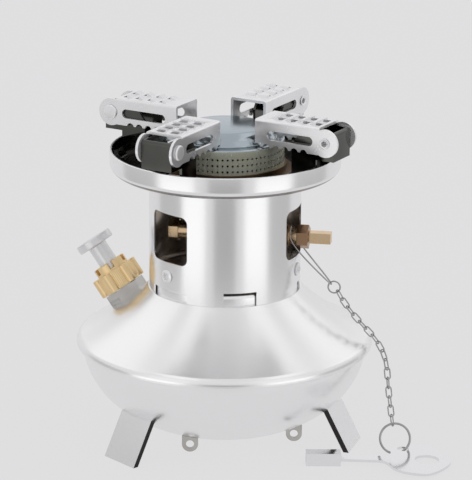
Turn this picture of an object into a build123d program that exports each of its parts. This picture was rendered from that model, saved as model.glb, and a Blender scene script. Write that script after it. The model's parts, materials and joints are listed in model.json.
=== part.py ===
"""Saucer-shaped camping pressure stove with four folding pot supports and a key on a chain.

Sizes are millimetres. Z points up, the ground is at z = 0 and the stove's axis is the Z axis.
X points to the right of the front view and Y away from it. Azimuths are degrees, anticlockwise
seen from above, from +X. Each piece of the stove is one file in the parts folder.
"""

import os
from math import atan2, cos, degrees, hypot, pi, radians, sin, sqrt

from build123d import *

# ---------------------------------------------------------------- shared clearances
RUNNING_CLEARANCE = 0.05
FREE_GAP = 0.3
FLAT_RUNNING_GAP = 0.15

# ---------------------------------------------------------------- tank
TANK_R = 65.0
TANK_WALL = 0.9
SEAM_Z = 42.0
SEAM_R = 62.2
SEAM_LIP = 1.0
SEAM_LAND = 1.6
EDGE_HEIGHT = 1.0
EDGE_BULGE = 0.3
SHOULDER_R = 60.0
SHOULDER_Z = 48.3
SHOULDER_BULGE = 0.9
SLOPE_BULGE = -1.6
BOWL_SIDE_Z = 40.0
BOWL_TURN_R = 49.7
BOWL_TURN_Z = 17.4
BOWL_SIDE_BULGE = 2.4
BOWL_FLAT_R = 17.3
BOWL_FLAT_Z = 4.4
BOWL_BASE_BULGE = 2.85
DECK_Z = 73.4
DECK_CORNER = 2.6
ARC_CHORDS = 3

# ---------------------------------------------------------------- three-fold pattern of the body
THREEFOLD_AZIMUTHS = {"left": -138.0, "right": -18.0, "rear": 102.0}
HALF_PITCH = 60.0

# ---------------------------------------------------------------- feet and eyelets
FOOT_WIDTH = 19.5
FOOT_SHEET = 1.0
FOOT_DEPTH = 2.2
FOOT_TIP_R = 60.5
FOOT_TOP_R = 50.0
FOOT_TOP_Z = 20.0
EYELET_AZIMUTHS = (-113.0, -34.0)
EYELET_R = 37.0
EYELET_HOLE_Z = 6.2
EYELET_HOLE_R = 1.75
EYELET_OUTER_R = 3.5
EYELET_SHEET = 1.2
EYELET_HEIGHT = 6.0

# ---------------------------------------------------------------- burner housing
HOUSING_R = 33.0
HOUSING_WALL = 0.8
HOUSING_SEAT_Z = 68.0
SEAT_MARGIN = 0.4
WINDOW_HALF_ANGLE = 19.0
WINDOW_LOW_Z = 84.5
WINDOW_HIGH_Z = 106.0
WINDOW_CORNER = 3.0
VENT_HALF_ANGLE = 12.6
VENT_TOP_Z = 74.0
RAISED_EDGE_Z = 72.1
SCREW_Z = 78.2
SCREW_HEAD_R = 3.0
SCREW_HEAD_HEIGHT = 1.2
SCREW_SHANK_R = 1.4
SCREW_TOP_R = 1.8
SCREW_LENGTH = 4.0

# ---------------------------------------------------------------- drip tray
TRAY_R = 50.0
TRAY_WALL = 1.0
TRAY_BASE_Z = 119.7
TRAY_RIM_Z = 129.5
TRAY_CORNER = 4.0

# ---------------------------------------------------------------- pot supports
ARM_AZIMUTHS = {"front_right": -30.0, "back_right": 60.0, "back_left": 150.0, "front_left": 240.0}
PIVOT_R = 53.0
PIVOT_Z = 140.5
ARM_REACH = 33.5
ARM_WIDTH = 17.5
ARM_SHEET = 1.2
ARM_END_R = 6.0
ARM_TOP = 6.5
ARM_BOTTOM = 5.3
ARM_TOP_END = 2.7
ARM_BEND_R = 1.0
ARM_SLOT_LENGTH = 22.0
ARM_SLOT_WIDTH = 4.0
ARM_SLOT_FROM_TIP = 16.7
SCALLOP_R = 1.75
SCALLOP_PITCH = 4.5
SCALLOP_COUNT = 6
SCALLOP_FROM_TIP = 0.9
SCALLOP_DROP = 0.35
CLAW_ROWS = 4
CLAW_ROW_PITCH = 6.0
CLAW_FROM_PIVOT = 6.2
CLAW_OFFSET = 3.4
CLAW_WIDTH = 3.8
CLAW_LENGTH = 2.6
CLAW_HEIGHT = 1.2
CLAW_HOLE = 1.8
PIN_R = 1.5
PIN_HEAD_R = 3.25
PIN_HEAD_HEIGHT = 0.8
PIN_FLARE_R = 2.1
PIN_FLARE_HEIGHT = 0.5
PIN_BORE_R = 0.9
PIN_BORE_DEPTH = 4.0

# ---------------------------------------------------------------- pot support brackets
BRACKET_SHEET = 1.2
BRACKET_FACE = 3.6
BRACKET_INNER = 16.5
BRACKET_EYE_R = 3.6
BRACKET_BEAD_R = 1.5
BRACKET_LIFT = 3.0
BRACKET_SHOULDER_FROM = 11.0
BRACKET_SHOULDER_TO = 4.6

# ---------------------------------------------------------------- burner
BURNER_HUB_Z = 104.0
BURNER_HUB_R = 9.0
BURNER_HUB_HEIGHT = 3.0
BURNER_R = 26.6
BURNER_WALL = 1.2
BURNER_SIDE_Z = 119.0
BURNER_BULGE = 2.2
BURNER_FLANGE_R = 29.5
BURNER_FLANGE = 0.9
BURNER_RIM_Z = 124.0
FLAME_R = 25.5
FLAME_WALL = 0.9
FLAME_TOP_Z = 134.2
FLAME_ROWS_Z = (125.8, 128.4, 131.0)
FLAME_HOLES = 24
FLAME_HOLE = 1.1
CAP_EDGE_Z = 134.8
CAP_STEP_R = 19.8
CAP_DISC_R = 17.5
CAP_DISC_Z = 139.4
CAP_TOP_Z = 140.0
CAP_FLANK_BULGE = 0.9
CAP_WALL = 1.0
CAP_SPIGOT = 1.0

# ---------------------------------------------------------------- vaporizer and valve
STEM_R = 5.2
STEM_FOOT_R = 6.0
STEM_FOOT_Z = 64.0
STEM_NUT_R = 9.0
STEM_NUT_HEIGHT = 4.6
STEM_SPIGOT_R = 4.0
STEM_SPIGOT_HEIGHT = 4.0
VALVE_AZIMUTH = -10.0
VALVE_Z = 91.7
CROSS_R = 4.2
CROSS_LEFT = 20.0
CROSS_FLANGE_AT = 26.5
CROSS_FLANGE_R = 5.0
CROSS_FLANGE = 2.0
GLAND_NECK_R = 3.6
GLAND_NUT_AT = 32.0
GLAND_NUT_LENGTH = 5.0
GLAND_NUT_FLATS = 9.4
GLAND_THREAD_LENGTH = 1.8
PACKING_THICKNESS = 0.8
SPINDLE_R = 1.94
SPINDLE_START = 6.0
SPINDLE_END = 46.7
SPINDLE_SQUARE = 4.7
PLUG_R = 5.0
PLUG_LENGTH = 4.5
JET_R = 3.0
JET_HEIGHT = 5.0
JET_BORE_R = 0.6
FUEL_TUBE_R = 2.5
FUEL_TUBE_BORE_R = 1.8
FUEL_TUBE_END_Z = 8.0

# ---------------------------------------------------------------- filler and pump
FILLER_AZIMUTH = 160.0
FILLER_R = 45.0
FILLER_Z = 57.6
FILLER_TILT = 36.0
FILLER_HEX_R = 9.4
FILLER_HEX_HEIGHT = 4.6
FILLER_HEX_ROOT = 6.0
FILLER_NECK_R = 8.0
FILLER_NECK_TOP = 11.0
BARREL_R = 6.9
BARREL_BORE_R = 6.2
BARREL_END = 42.0
BARREL_FLANGE_R = 7.9
BARREL_FLANGE = 0.8
CAP_SKIRT_R = 9.2
CAP_LOBES = 6
CAP_LOBE_R = 2.3
CAP_LOBE_PITCH_R = 8.5
CAP_LOBE_TOP = 13.4
CAP_CROWN_R = 7.6
CAP_CROWN_TOP = 17.3
CAP_NOTCHES = 3
CAP_NOTCH_WIDTH = 2.4
CAP_NOTCH_DEPTH = 2.8
CAP_STEP = 0.3
PLUNGER_R = 4.25
KNOB_R = 8.5
KNOB_BOTTOM = 26.5
KNOB_HEIGHT = 3.8
KNOB_EDGE = 0.5
PISTON_TOP = 27.0
PISTON_HEIGHT = 4.0
PISTON_CLEARANCE = 0.06
CHECK_VALVE_R = 3.0
CHECK_VALVE_LENGTH = 4.0

# ---------------------------------------------------------------- chain, ring and key
CLIP_WIRE = 0.7
CLIP_ARC_STEP = 45.0
CLIP_SILL_R = 33.8
CLIP_SILL_Z = 85.2
CLIP_END = (46.4, -8.4, 70.9)
CLIP_END_HALF_WIDTH = 1.3
ROUND_LINK_R = 3.0
ROUND_LINK_SIDES = 12
LINK_WIRE = 0.6
LINK_PITCH = 4.2
LINK_LENGTH = 5.7
LINK_WIDTH = 3.1
LINK_SLACK = 0.15
LINK_CORNER_SHARE = 0.3
CHAIN_ROUTE = (
    (53.6, -10.8, 61.2),
    (60.2, -12.8, 53.7),
    (66.6, -14.8, 46.6),
    (70.3, -17.6, 38.4),
    (71.4, -20.4, 29.0),
    (72.4, -23.0, 20.2),
)
RING_R = 7.0
RING_WIRE = 1.0
RING_SIDES = 18
RING_CENTRE = (74.5, -27.5, 6.75)
RING_LEAN = 17.0
RING_SIDE = 10.0
KEY_X = 35.5
KEY_Y = -41.0
SOCKET_SIZE = 5.7
SOCKET_LENGTH = 15.0
SOCKET_BORE = 4.8
SOCKET_DEPTH = 11.0
KEY_SHEET = 1.2
KEY_TIP_X = 98.0
KEY_NECK_WIDTH = 5.2
KEY_NECK_END_X = 66.0
KEY_LEAF = ((72.4, 10.0), (80.0, 15.8), (86.5, 16.4), (93.0, 11.0))
KEY_TIP_LIFT = 0.9
KEY_HOLE_X = 87.6
KEY_HOLE_R = 5.2
KEY_RING_HOLE = (78.0, -29.2)
KEY_RING_HOLE_R = 2.5


# ================================================================ shape helpers
def arc_centre(start, end, bulge):
    """Centre and radius of the arc that stands out by bulge to the right of start to end."""
    run, rise = end[0] - start[0], end[1] - start[1]
    chord = hypot(run, rise)
    radius = (chord**2 / 4 + bulge**2) / (2 * bulge)
    away = (radius - bulge) / chord
    return (start[0] + end[0]) / 2 - rise * away, (start[1] + end[1]) / 2 + run * away, radius


def arc_middle(start, end, bulge):
    """Middle point of that arc."""
    run, rise = end[0] - start[0], end[1] - start[1]
    chord = hypot(run, rise)
    return (start[0] + end[0]) / 2 + rise * bulge / chord, (start[1] + end[1]) / 2 - run * bulge / chord


def arc_points(start, end, bulge, wall=0.0):
    """Points one wall to the left of that arc, from its start to its end."""
    centre_r, centre_z, radius = arc_centre(start, end, bulge)
    angles = [atan2(p[1] - centre_z, p[0] - centre_r) for p in (start, end)]
    turn = (angles[1] - angles[0] + pi) % (2 * pi) - pi
    first = angles[0] + (pi if radius < 0 else 0)
    inner = radius - wall
    steps = [first + turn * i / ARC_CHORDS for i in range(ARC_CHORDS + 1)]
    return [(centre_r + inner * cos(a), centre_z + inner * sin(a)) for a in steps]


def turned(start, *steps):
    """Solid turned about Z. A step (r, z) is a line, and (r, z, bulge) an arc to its right."""
    edges = []
    here = start
    for step in (*steps, start):
        there = step[:2]
        ends = (here[0], 0, here[1]), (there[0], 0, there[1])
        if len(step) == 3:
            middle = arc_middle(here, there, step[2])
            edges.append(ThreePointArc(ends[0], (middle[0], 0, middle[1]), ends[1]))
        else:
            edges.append(Line(*ends))
        here = there
    return revolve(make_face(edges), Axis.Z)


def rod(radius, low, high):
    """Upright round rod between two heights."""
    return Pos(0, 0, low) * Cylinder(radius, high - low, align=(Align.CENTER, Align.CENTER, Align.MIN))


def tube(outer, inner, low, high):
    """Upright tube between two heights."""
    return rod(outer, low, high) - rod(inner, low, high)


def hexagon(radius, low, high):
    """Upright hexagonal bar between two heights, radius to its corners."""
    return Pos(0, 0, low) * extrude(RegularPolygon(radius, 6), high - low)


def radial(azimuth, height):
    """Plane on the stove's axis that looks outwards, with its own Y axis up."""
    angle = radians(azimuth)
    return Plane((0, 0, height), x_dir=(-sin(angle), cos(angle), 0), z_dir=(cos(angle), sin(angle), 0))


def turned_to(azimuth, shape):
    """Shape built towards +X, turned about the stove's axis."""
    return Rot(0, 0, azimuth) * shape


def group(shapes):
    """One file of several equal pieces."""
    return Compound(children=list(shapes))


# ================================================================ tank
SEAT_OUTER_R = HOUSING_R + SEAT_MARGIN
SEAT_INNER_R = HOUSING_R - HOUSING_WALL - SEAT_MARGIN
SHOULDER = (SHOULDER_R, SHOULDER_Z)
EDGE = (TANK_R, SEAM_Z + EDGE_HEIGHT)
SLOPE_END = (SEAT_OUTER_R, HOUSING_SEAT_Z)
BOWL_TURN = (BOWL_TURN_R, BOWL_TURN_Z)
BOWL_SIDE = (SEAM_R, BOWL_SIDE_Z)
BOWL_FLAT = (BOWL_FLAT_R, BOWL_FLAT_Z)
FILLER_ANGLE = radians(FILLER_AZIMUTH)
FILLER_PLANE = Plane(
    (FILLER_R * cos(FILLER_ANGLE), FILLER_R * sin(FILLER_ANGLE), FILLER_Z),
    x_dir=(-sin(FILLER_ANGLE), cos(FILLER_ANGLE), 0),
    z_dir=(
        sin(radians(FILLER_TILT)) * cos(FILLER_ANGLE),
        sin(radians(FILLER_TILT)) * sin(FILLER_ANGLE),
        cos(radians(FILLER_TILT)),
    ),
)
UPPER_OUTLINE = (
    (TANK_R - SEAM_LIP, SEAM_Z),
    (*EDGE, EDGE_BULGE),
    (*SHOULDER, SHOULDER_BULGE),
    (*SLOPE_END, SLOPE_BULGE),
    (SEAT_INNER_R, HOUSING_SEAT_Z),
    (SEAT_INNER_R, DECK_Z - DECK_CORNER),
    (SEAT_INNER_R - DECK_CORNER, DECK_Z),
)
LOWER_OUTLINE = (
    BOWL_FLAT,
    (*BOWL_TURN, BOWL_BASE_BULGE),
    (*BOWL_SIDE, BOWL_SIDE_BULGE),
    (SEAM_R, SEAM_Z),
)


def tank_upper():
    """Conical upper shell with the ledge that carries the housing and a flat deck in it."""
    slope = arc_points(SHOULDER, SLOPE_END, SLOPE_BULGE, TANK_WALL)
    deck_inner_r = SEAT_INNER_R - TANK_WALL
    shell = turned(
        (SEAM_R - SEAM_LAND, SEAM_Z),
        *UPPER_OUTLINE,
        (STEM_FOOT_R, DECK_Z),
        (STEM_FOOT_R, DECK_Z - TANK_WALL),
        (deck_inner_r - DECK_CORNER, DECK_Z - TANK_WALL),
        (deck_inner_r, DECK_Z - TANK_WALL - DECK_CORNER),
        (deck_inner_r, HOUSING_SEAT_Z - TANK_WALL),
        *reversed(slope[:-1]),
        (TANK_R - TANK_WALL, SEAM_Z + EDGE_HEIGHT),
        (SEAM_R - SEAM_LAND, SEAM_Z + EDGE_HEIGHT),
    )
    return shell - FILLER_PLANE * rod(FILLER_NECK_R, -FILLER_HEX_ROOT, FILLER_HEX_HEIGHT)


def tank_lower():
    """Shallow bowl that closes the tank from below."""
    base = arc_points(BOWL_FLAT, BOWL_TURN, BOWL_BASE_BULGE, TANK_WALL)
    side = arc_points(BOWL_TURN, BOWL_SIDE, BOWL_SIDE_BULGE, TANK_WALL)
    return turned(
        (0, BOWL_FLAT_Z),
        *LOWER_OUTLINE,
        (SEAM_R - TANK_WALL, SEAM_Z),
        *reversed(side[1:]),
        *reversed(base[1:]),
        (0, BOWL_FLAT_Z + TANK_WALL),
    )


def full_bowl():
    """The lower shell's outside as one solid, for fitting what is welded to it."""
    return turned((0, BOWL_FLAT_Z), *LOWER_OUTLINE, (0, SEAM_Z))


def full_dome():
    """The upper shell's outside as one solid, for fitting what stands on it."""
    return turned((0, SEAM_Z), *UPPER_OUTLINE, (0, DECK_Z))


def foot(azimuth, bowl):
    """Bent sheet leg with folded sides, from the bowl down and out to the ground."""
    run, drop = FOOT_TIP_R - FOOT_TOP_R, FOOT_TOP_Z
    length = hypot(run, drop)
    slant = degrees(atan2(run, drop))
    blank = Box(FOOT_DEPTH, FOOT_WIDTH, 2 * length)
    hollow = Pos(-FOOT_SHEET, 0, 0) * Box(FOOT_DEPTH, FOOT_WIDTH - 2 * FOOT_SHEET, 2 * length)
    leg = Pos(FOOT_TIP_R, 0, 0) * Rot(0, -slant, 0) * Pos(-FOOT_DEPTH / 2, 0, 0) * (blank - hollow)
    standing = leg - Pos(FOOT_TIP_R, 0, -length) * Box(2 * FOOT_TIP_R, 2 * FOOT_WIDTH, 2 * length)
    outside = turned_to(azimuth, standing) - bowl
    return outside.solids().sort_by(Axis.Z)[0]


def base_eyelets(bowl):
    """Two small sheet eyelets under the bowl."""
    ring = Circle(EYELET_OUTER_R) + Pos(0, EYELET_HEIGHT / 2) * Rectangle(2 * EYELET_OUTER_R, EYELET_HEIGHT)
    tab = extrude(ring - Circle(EYELET_HOLE_R), EYELET_SHEET / 2, both=True)
    eyelets = []
    for azimuth in EYELET_AZIMUTHS:
        angle = radians(azimuth)
        spot = Pos(EYELET_R * cos(angle), EYELET_R * sin(angle), EYELET_HOLE_Z)
        hanging = spot * Rot(90, 0, 0) * tab - bowl
        eyelets.append(hanging.solids().sort_by(Axis.Z)[0])
    return group(eyelets)


# ================================================================ burner housing and tray
def housing_screw_spots():
    """Planes on the housing's wall, one under each window."""
    return [radial(azimuth, SCREW_Z) for azimuth in THREEFOLD_AZIMUTHS.values()]


def burner_housing():
    """Sleeve on the tank's ledge, with three windows, three vents and a raised lower edge."""
    sleeve = tube(HOUSING_R, HOUSING_R - HOUSING_WALL, HOUSING_SEAT_Z, TRAY_BASE_Z)
    window_width = 2 * HOUSING_R * sin(radians(WINDOW_HALF_ANGLE))
    window_height = WINDOW_HIGH_Z - WINDOW_LOW_Z
    window = RectangleRounded(window_width, window_height, WINDOW_CORNER)
    vent_width = 2 * HOUSING_R * sin(radians(VENT_HALF_ANGLE))
    vent = Rectangle(vent_width, 2 * (VENT_TOP_Z - HOUSING_SEAT_Z))
    raised = Rectangle(window_width, 2 * (RAISED_EDGE_Z - HOUSING_SEAT_Z))
    window_z = (WINDOW_HIGH_Z + WINDOW_LOW_Z) / 2
    for azimuth in THREEFOLD_AZIMUTHS.values():
        sleeve -= extrude(radial(azimuth, window_z) * window, HOUSING_R)
        sleeve -= extrude(radial(azimuth, HOUSING_SEAT_Z) * raised, HOUSING_R)
        sleeve -= extrude(radial(azimuth + HALF_PITCH, HOUSING_SEAT_Z) * vent, HOUSING_R)
    for spot in housing_screw_spots():
        sleeve -= extrude(spot * Circle(SCREW_SHANK_R), HOUSING_R)
    return sleeve


def housing_screws():
    """Three screws that hold the housing, low conical heads against its wall."""
    head_seat = HOUSING_R + FLAT_RUNNING_GAP - SCREW_HEAD_R**2 / (2 * HOUSING_R)
    head_top = head_seat + SCREW_HEAD_HEIGHT
    screw = turned(
        (0, HOUSING_R - SCREW_LENGTH),
        (SCREW_SHANK_R, HOUSING_R - SCREW_LENGTH),
        (SCREW_SHANK_R, head_seat),
        (SCREW_HEAD_R, head_seat),
        (SCREW_TOP_R, head_top),
        (0, head_top),
    )
    return group(spot * screw for spot in housing_screw_spots())


def drip_tray():
    """Round pan on the housing, with a hole for the burner."""
    floor_z = TRAY_BASE_Z + TRAY_WALL
    corner_bulge = TRAY_CORNER * (1 - cos(radians(45)))
    inner_corner = TRAY_CORNER - TRAY_WALL
    corner_start = (TRAY_R - TRAY_CORNER, TRAY_BASE_Z)
    corner_end = (TRAY_R, TRAY_BASE_Z + TRAY_CORNER)
    return turned(
        (BURNER_R + FREE_GAP, TRAY_BASE_Z),
        *arc_points(corner_start, corner_end, corner_bulge),
        (TRAY_R, TRAY_RIM_Z),
        (TRAY_R - TRAY_WALL, TRAY_RIM_Z),
        (TRAY_R - TRAY_WALL, floor_z + inner_corner),
        (TRAY_R - TRAY_CORNER, floor_z),
        (BURNER_R + FREE_GAP, floor_z),
    )


# ================================================================ pot supports
CHEEK_FACE = ARM_WIDTH / 2 - ARM_SHEET - FREE_GAP
PIVOT = Pos(PIVOT_R, 0, PIVOT_Z)


def across(sketch, low, high):
    """Sketch on the XZ plane about the pivot, pushed across the arm from low to high."""
    return Pos(0, low, 0) * extrude(Plane.XZ * sketch, high - low, dir=(0, 1, 0))


def arm_bracket(azimuth):
    """Folded sheet on the tray: two cheeks over the rim, a back plate and a rolled top edge."""
    floor = TRAY_BASE_Z + TRAY_WALL - PIVOT_Z
    rim_inside = sqrt((TRAY_R - TRAY_WALL - FREE_GAP) ** 2 - CHEEK_FACE**2) - PIVOT_R
    over_rim = TRAY_RIM_Z + BRACKET_LIFT - PIVOT_Z
    shoulder = ARM_TOP - ARM_SHEET - FREE_GAP
    bead = (BRACKET_FACE - BRACKET_BEAD_R, shoulder - FREE_GAP - BRACKET_BEAD_R - 2 * FREE_GAP)
    outline = Polygon(
        (-BRACKET_INNER, floor),
        (rim_inside - TRAY_CORNER, floor),
        (rim_inside, floor + TRAY_CORNER),
        (rim_inside, over_rim),
        (BRACKET_FACE, over_rim),
        (BRACKET_FACE, bead[1]),
        (bead[0], bead[1] + BRACKET_BEAD_R),
        (-BRACKET_SHOULDER_TO, shoulder),
        (-BRACKET_SHOULDER_FROM, shoulder),
        (-BRACKET_INNER, -ARM_BOTTOM / 2),
        align=None,
    )
    cheek = outline + Circle(BRACKET_EYE_R) - Circle(PIN_R)
    inner_face = CHEEK_FACE - BRACKET_SHEET
    plate_height = bead[1] - over_rim
    plate = Rectangle(BRACKET_SHEET, plate_height, align=(Align.MAX, Align.MIN))
    bracket = across(cheek, inner_face, CHEEK_FACE) + across(cheek, -CHEEK_FACE, -inner_face)
    bracket += across(Pos(BRACKET_FACE, over_rim) * plate, -CHEEK_FACE, CHEEK_FACE)
    bracket += across(Pos(*bead) * Circle(BRACKET_BEAD_R), -CHEEK_FACE, CHEEK_FACE)
    return turned_to(azimuth, PIVOT * bracket)


def arm_side():
    """Side view of a pot support: round end at the pivot, serrated lower edge and a slot."""
    bar_length = ARM_REACH - ARM_TOP_END
    bar = Pos(-ARM_REACH, -ARM_BOTTOM) * Rectangle(
        bar_length, ARM_BOTTOM + ARM_TOP, align=(Align.MIN, Align.MIN)
    )
    side = bar + Circle(ARM_END_R)
    for index in range(SCALLOP_COUNT):
        spot = SCALLOP_FROM_TIP + index * SCALLOP_PITCH - ARM_REACH
        side -= Pos(spot, -ARM_BOTTOM - SCALLOP_DROP) * Circle(SCALLOP_R)
    side -= Pos(ARM_SLOT_FROM_TIP - ARM_REACH, 0) * SlotOverall(ARM_SLOT_LENGTH, ARM_SLOT_WIDTH)
    return side - Circle(PIN_R + RUNNING_CLEARANCE)


def claw():
    """Pressed-up tongue on the top plate: a ramp whose tall face looks at the pivot."""
    ramp = Polygon((0, 0), (CLAW_LENGTH, 0), (CLAW_LENGTH, CLAW_HEIGHT), align=None)
    return across(ramp, -CLAW_WIDTH / 2, CLAW_WIDTH / 2)


def pot_arm(azimuth):
    """Folding pot support: a channel that opens downwards, with eight claws on top."""
    half = ARM_WIDTH / 2
    inner = half - ARM_SHEET
    under_top = ARM_TOP - ARM_SHEET
    channel = across(arm_side(), -half, half)
    length = ARM_REACH - ARM_TOP_END
    top_edges = channel.edges().filter_by(Axis.X).group_by(Axis.Z)[-1]
    channel = fillet(top_edges, ARM_BEND_R)
    channel -= Pos(0, 0, under_top - ARM_REACH) * Box(4 * ARM_REACH, 2 * inner, 2 * ARM_REACH)
    channel -= Pos(ARM_REACH - ARM_TOP_END, 0, 0) * Box(2 * ARM_REACH, 2 * inner, 4 * ARM_END_R)
    for row in range(CLAW_ROWS):
        claw_end = -CLAW_FROM_PIVOT - row * CLAW_ROW_PITCH
        for column in (-1, 1):
            spot = Pos(claw_end, column * CLAW_OFFSET, 0)
            hole = Box(CLAW_HOLE, CLAW_WIDTH, 4 * ARM_SHEET, align=(Align.MIN, Align.CENTER, Align.MIN))
            channel -= spot * Pos(0, 0, under_top - ARM_SHEET) * hole
            channel += spot * Pos(-CLAW_LENGTH, 0, ARM_TOP) * claw()
    return turned_to(azimuth, PIVOT * channel)


def arm_pin(azimuth):
    """Hollow rivet through a pot support and its bracket, round head on one side."""
    side = ARM_WIDTH / 2 + FLAT_RUNNING_GAP
    flare_end = -side - PIN_FLARE_HEIGHT
    pin = turned(
        (0, flare_end + PIN_BORE_DEPTH),
        (PIN_BORE_R, flare_end + PIN_BORE_DEPTH),
        (PIN_BORE_R, flare_end),
        (PIN_FLARE_R, flare_end),
        (PIN_FLARE_R, -side),
        (PIN_R, -side),
        (PIN_R, side),
        (PIN_HEAD_R, side),
        (PIN_HEAD_R, side + PIN_HEAD_HEIGHT / 2),
        (PIN_HEAD_R - PIN_HEAD_HEIGHT / 2, side + PIN_HEAD_HEIGHT),
        (0, side + PIN_HEAD_HEIGHT),
    )
    return turned_to(azimuth, PIVOT * Rot(-90, 0, 0) * pin)


# ================================================================ burner
def burner_bowl():
    """Cast bowl on the stem, with a flange on the tray and a rim for the flame ring."""
    tray_floor = TRAY_BASE_Z + TRAY_WALL
    hub_top = BURNER_HUB_Z + BURNER_HUB_HEIGHT
    inner_r = BURNER_R - BURNER_WALL
    rim_inner_r = FLAME_R - FLAME_WALL - BURNER_WALL
    flank = ((BURNER_HUB_R, hub_top - BURNER_WALL), (BURNER_R, BURNER_SIDE_Z), BURNER_BULGE)
    return turned(
        (STEM_SPIGOT_R, BURNER_HUB_Z),
        (BURNER_HUB_R, BURNER_HUB_Z),
        *arc_points(*flank),
        (BURNER_R, tray_floor),
        (BURNER_FLANGE_R, tray_floor),
        (BURNER_FLANGE_R, tray_floor + BURNER_FLANGE),
        (BURNER_R, tray_floor + BURNER_FLANGE),
        (BURNER_R, BURNER_RIM_Z),
        (rim_inner_r, BURNER_RIM_Z),
        (rim_inner_r, BURNER_RIM_Z - BURNER_WALL),
        (inner_r, BURNER_SIDE_Z),
        *reversed(arc_points(*flank, BURNER_WALL)[:-1]),
        (STEM_SPIGOT_R, hub_top),
    )


def flame_ring():
    """Perforated ring that the flames come out of."""
    ring = tube(FLAME_R, FLAME_R - FLAME_WALL, BURNER_RIM_Z, FLAME_TOP_Z)
    pitch = 360 / FLAME_HOLES
    bar = Box(3 * FLAME_R, FLAME_HOLE, FLAME_HOLE)
    bars = []
    for row, height in enumerate(FLAME_ROWS_Z):
        for index in range(FLAME_HOLES // 2):
            bars.append(Pos(0, 0, height) * Rot(0, 0, (index + row / 2) * pitch) * bar)
    return ring - bars


def burner_cap():
    """Pressed lid of the burner: a flat shoulder and a raised disc."""
    spigot_r = FLAME_R - FLAME_WALL - RUNNING_CLEARANCE
    under = CAP_EDGE_Z - CAP_WALL
    return turned(
        (0, CAP_TOP_Z - CAP_WALL),
        (CAP_DISC_R - CAP_WALL / 2, CAP_DISC_Z - CAP_WALL),
        (CAP_STEP_R - CAP_WALL, under),
        (spigot_r - CAP_WALL, under),
        (spigot_r - CAP_WALL, FLAME_TOP_Z - CAP_SPIGOT),
        (spigot_r, FLAME_TOP_Z - CAP_SPIGOT),
        (spigot_r, FLAME_TOP_Z),
        (FLAME_R, FLAME_TOP_Z),
        (FLAME_R, (FLAME_TOP_Z + CAP_EDGE_Z) / 2),
        (FLAME_R - CAP_WALL / 2, CAP_EDGE_Z),
        *arc_points((CAP_STEP_R, CAP_EDGE_Z), (CAP_DISC_R, CAP_DISC_Z), CAP_FLANK_BULGE),
        (0, CAP_TOP_Z),
    )


# ================================================================ vaporizer and valve
VALVE_PLANE = Plane(
    (0, 0, VALVE_Z),
    x_dir=(0, 0, -1),
    z_dir=(cos(radians(VALVE_AZIMUTH)), sin(radians(VALVE_AZIMUTH)), 0),
)
SPINDLE_BORE_R = SPINDLE_R + RUNNING_CLEARANCE
GLAND_NECK_END = GLAND_NUT_AT + GLAND_THREAD_LENGTH
NUT_SEAT = GLAND_NECK_END + PACKING_THICKNESS


def vaporizer_stem():
    """Upright fuel stem with the cross barrel that takes the valve spindle."""
    spigot_top = BURNER_HUB_Z + STEM_SPIGOT_HEIGHT
    stem = rod(STEM_FOOT_R, STEM_FOOT_Z, DECK_Z) + hexagon(STEM_NUT_R, DECK_Z, DECK_Z + STEM_NUT_HEIGHT)
    stem += rod(STEM_R, DECK_Z + STEM_NUT_HEIGHT, BURNER_HUB_Z)
    stem += rod(STEM_SPIGOT_R, BURNER_HUB_Z, spigot_top)
    barrel = rod(CROSS_R, -CROSS_LEFT, CROSS_FLANGE_AT + CROSS_FLANGE)
    barrel += rod(CROSS_FLANGE_R, CROSS_FLANGE_AT, CROSS_FLANGE_AT + CROSS_FLANGE)
    barrel += rod(GLAND_NECK_R, CROSS_FLANGE_AT, GLAND_NECK_END)
    bore = rod(SPINDLE_BORE_R, SPINDLE_START - FREE_GAP, GLAND_NECK_END)
    return stem + VALVE_PLANE * barrel - VALVE_PLANE * bore


def barrel_plug():
    """Hexagonal plug that closes the cross barrel's left end."""
    return VALVE_PLANE * hexagon(PLUG_R, -CROSS_LEFT - PLUG_LENGTH, -CROSS_LEFT)


def gland_packing():
    """Ring that seals the spindle inside the gland nut."""
    return VALVE_PLANE * tube(GLAND_NECK_R, SPINDLE_BORE_R, GLAND_NECK_END, NUT_SEAT)


def gland_nut():
    """Hexagonal nut on the gland's neck."""
    corner_r = GLAND_NUT_FLATS / 2 / cos(radians(30))
    nut = hexagon(corner_r, GLAND_NUT_AT, GLAND_NUT_AT + GLAND_NUT_LENGTH)
    nut -= rod(GLAND_NECK_R, GLAND_NUT_AT, NUT_SEAT)
    return VALVE_PLANE * (nut - rod(SPINDLE_BORE_R, GLAND_NUT_AT, GLAND_NUT_AT + GLAND_NUT_LENGTH))


def valve_spindle():
    """Turning spindle with a square end for the key."""
    square_start = GLAND_NUT_AT + GLAND_NUT_LENGTH + FREE_GAP
    square_length = SPINDLE_END - square_start
    square = Pos(0, 0, square_start) * extrude(Rectangle(SPINDLE_SQUARE, SPINDLE_SQUARE), square_length)
    return VALVE_PLANE * (rod(SPINDLE_R, SPINDLE_START, square_start) + square)


def jet_nipple():
    """Fuel jet on top of the stem."""
    bottom = BURNER_HUB_Z + STEM_SPIGOT_HEIGHT
    return hexagon(JET_R, bottom, bottom + JET_HEIGHT) - rod(JET_BORE_R, bottom, bottom + JET_HEIGHT)


def fuel_tube():
    """Pick-up tube from the stem down to the bottom of the tank."""
    return tube(FUEL_TUBE_R, FUEL_TUBE_BORE_R, FUEL_TUBE_END_Z, STEM_FOOT_Z)


# ================================================================ filler and pump
CAP_BORE_R = FILLER_NECK_R + RUNNING_CLEARANCE
FLANGE_TOP = FILLER_NECK_TOP + BARREL_FLANGE
CAP_ROOF = FLANGE_TOP + FREE_GAP


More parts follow.
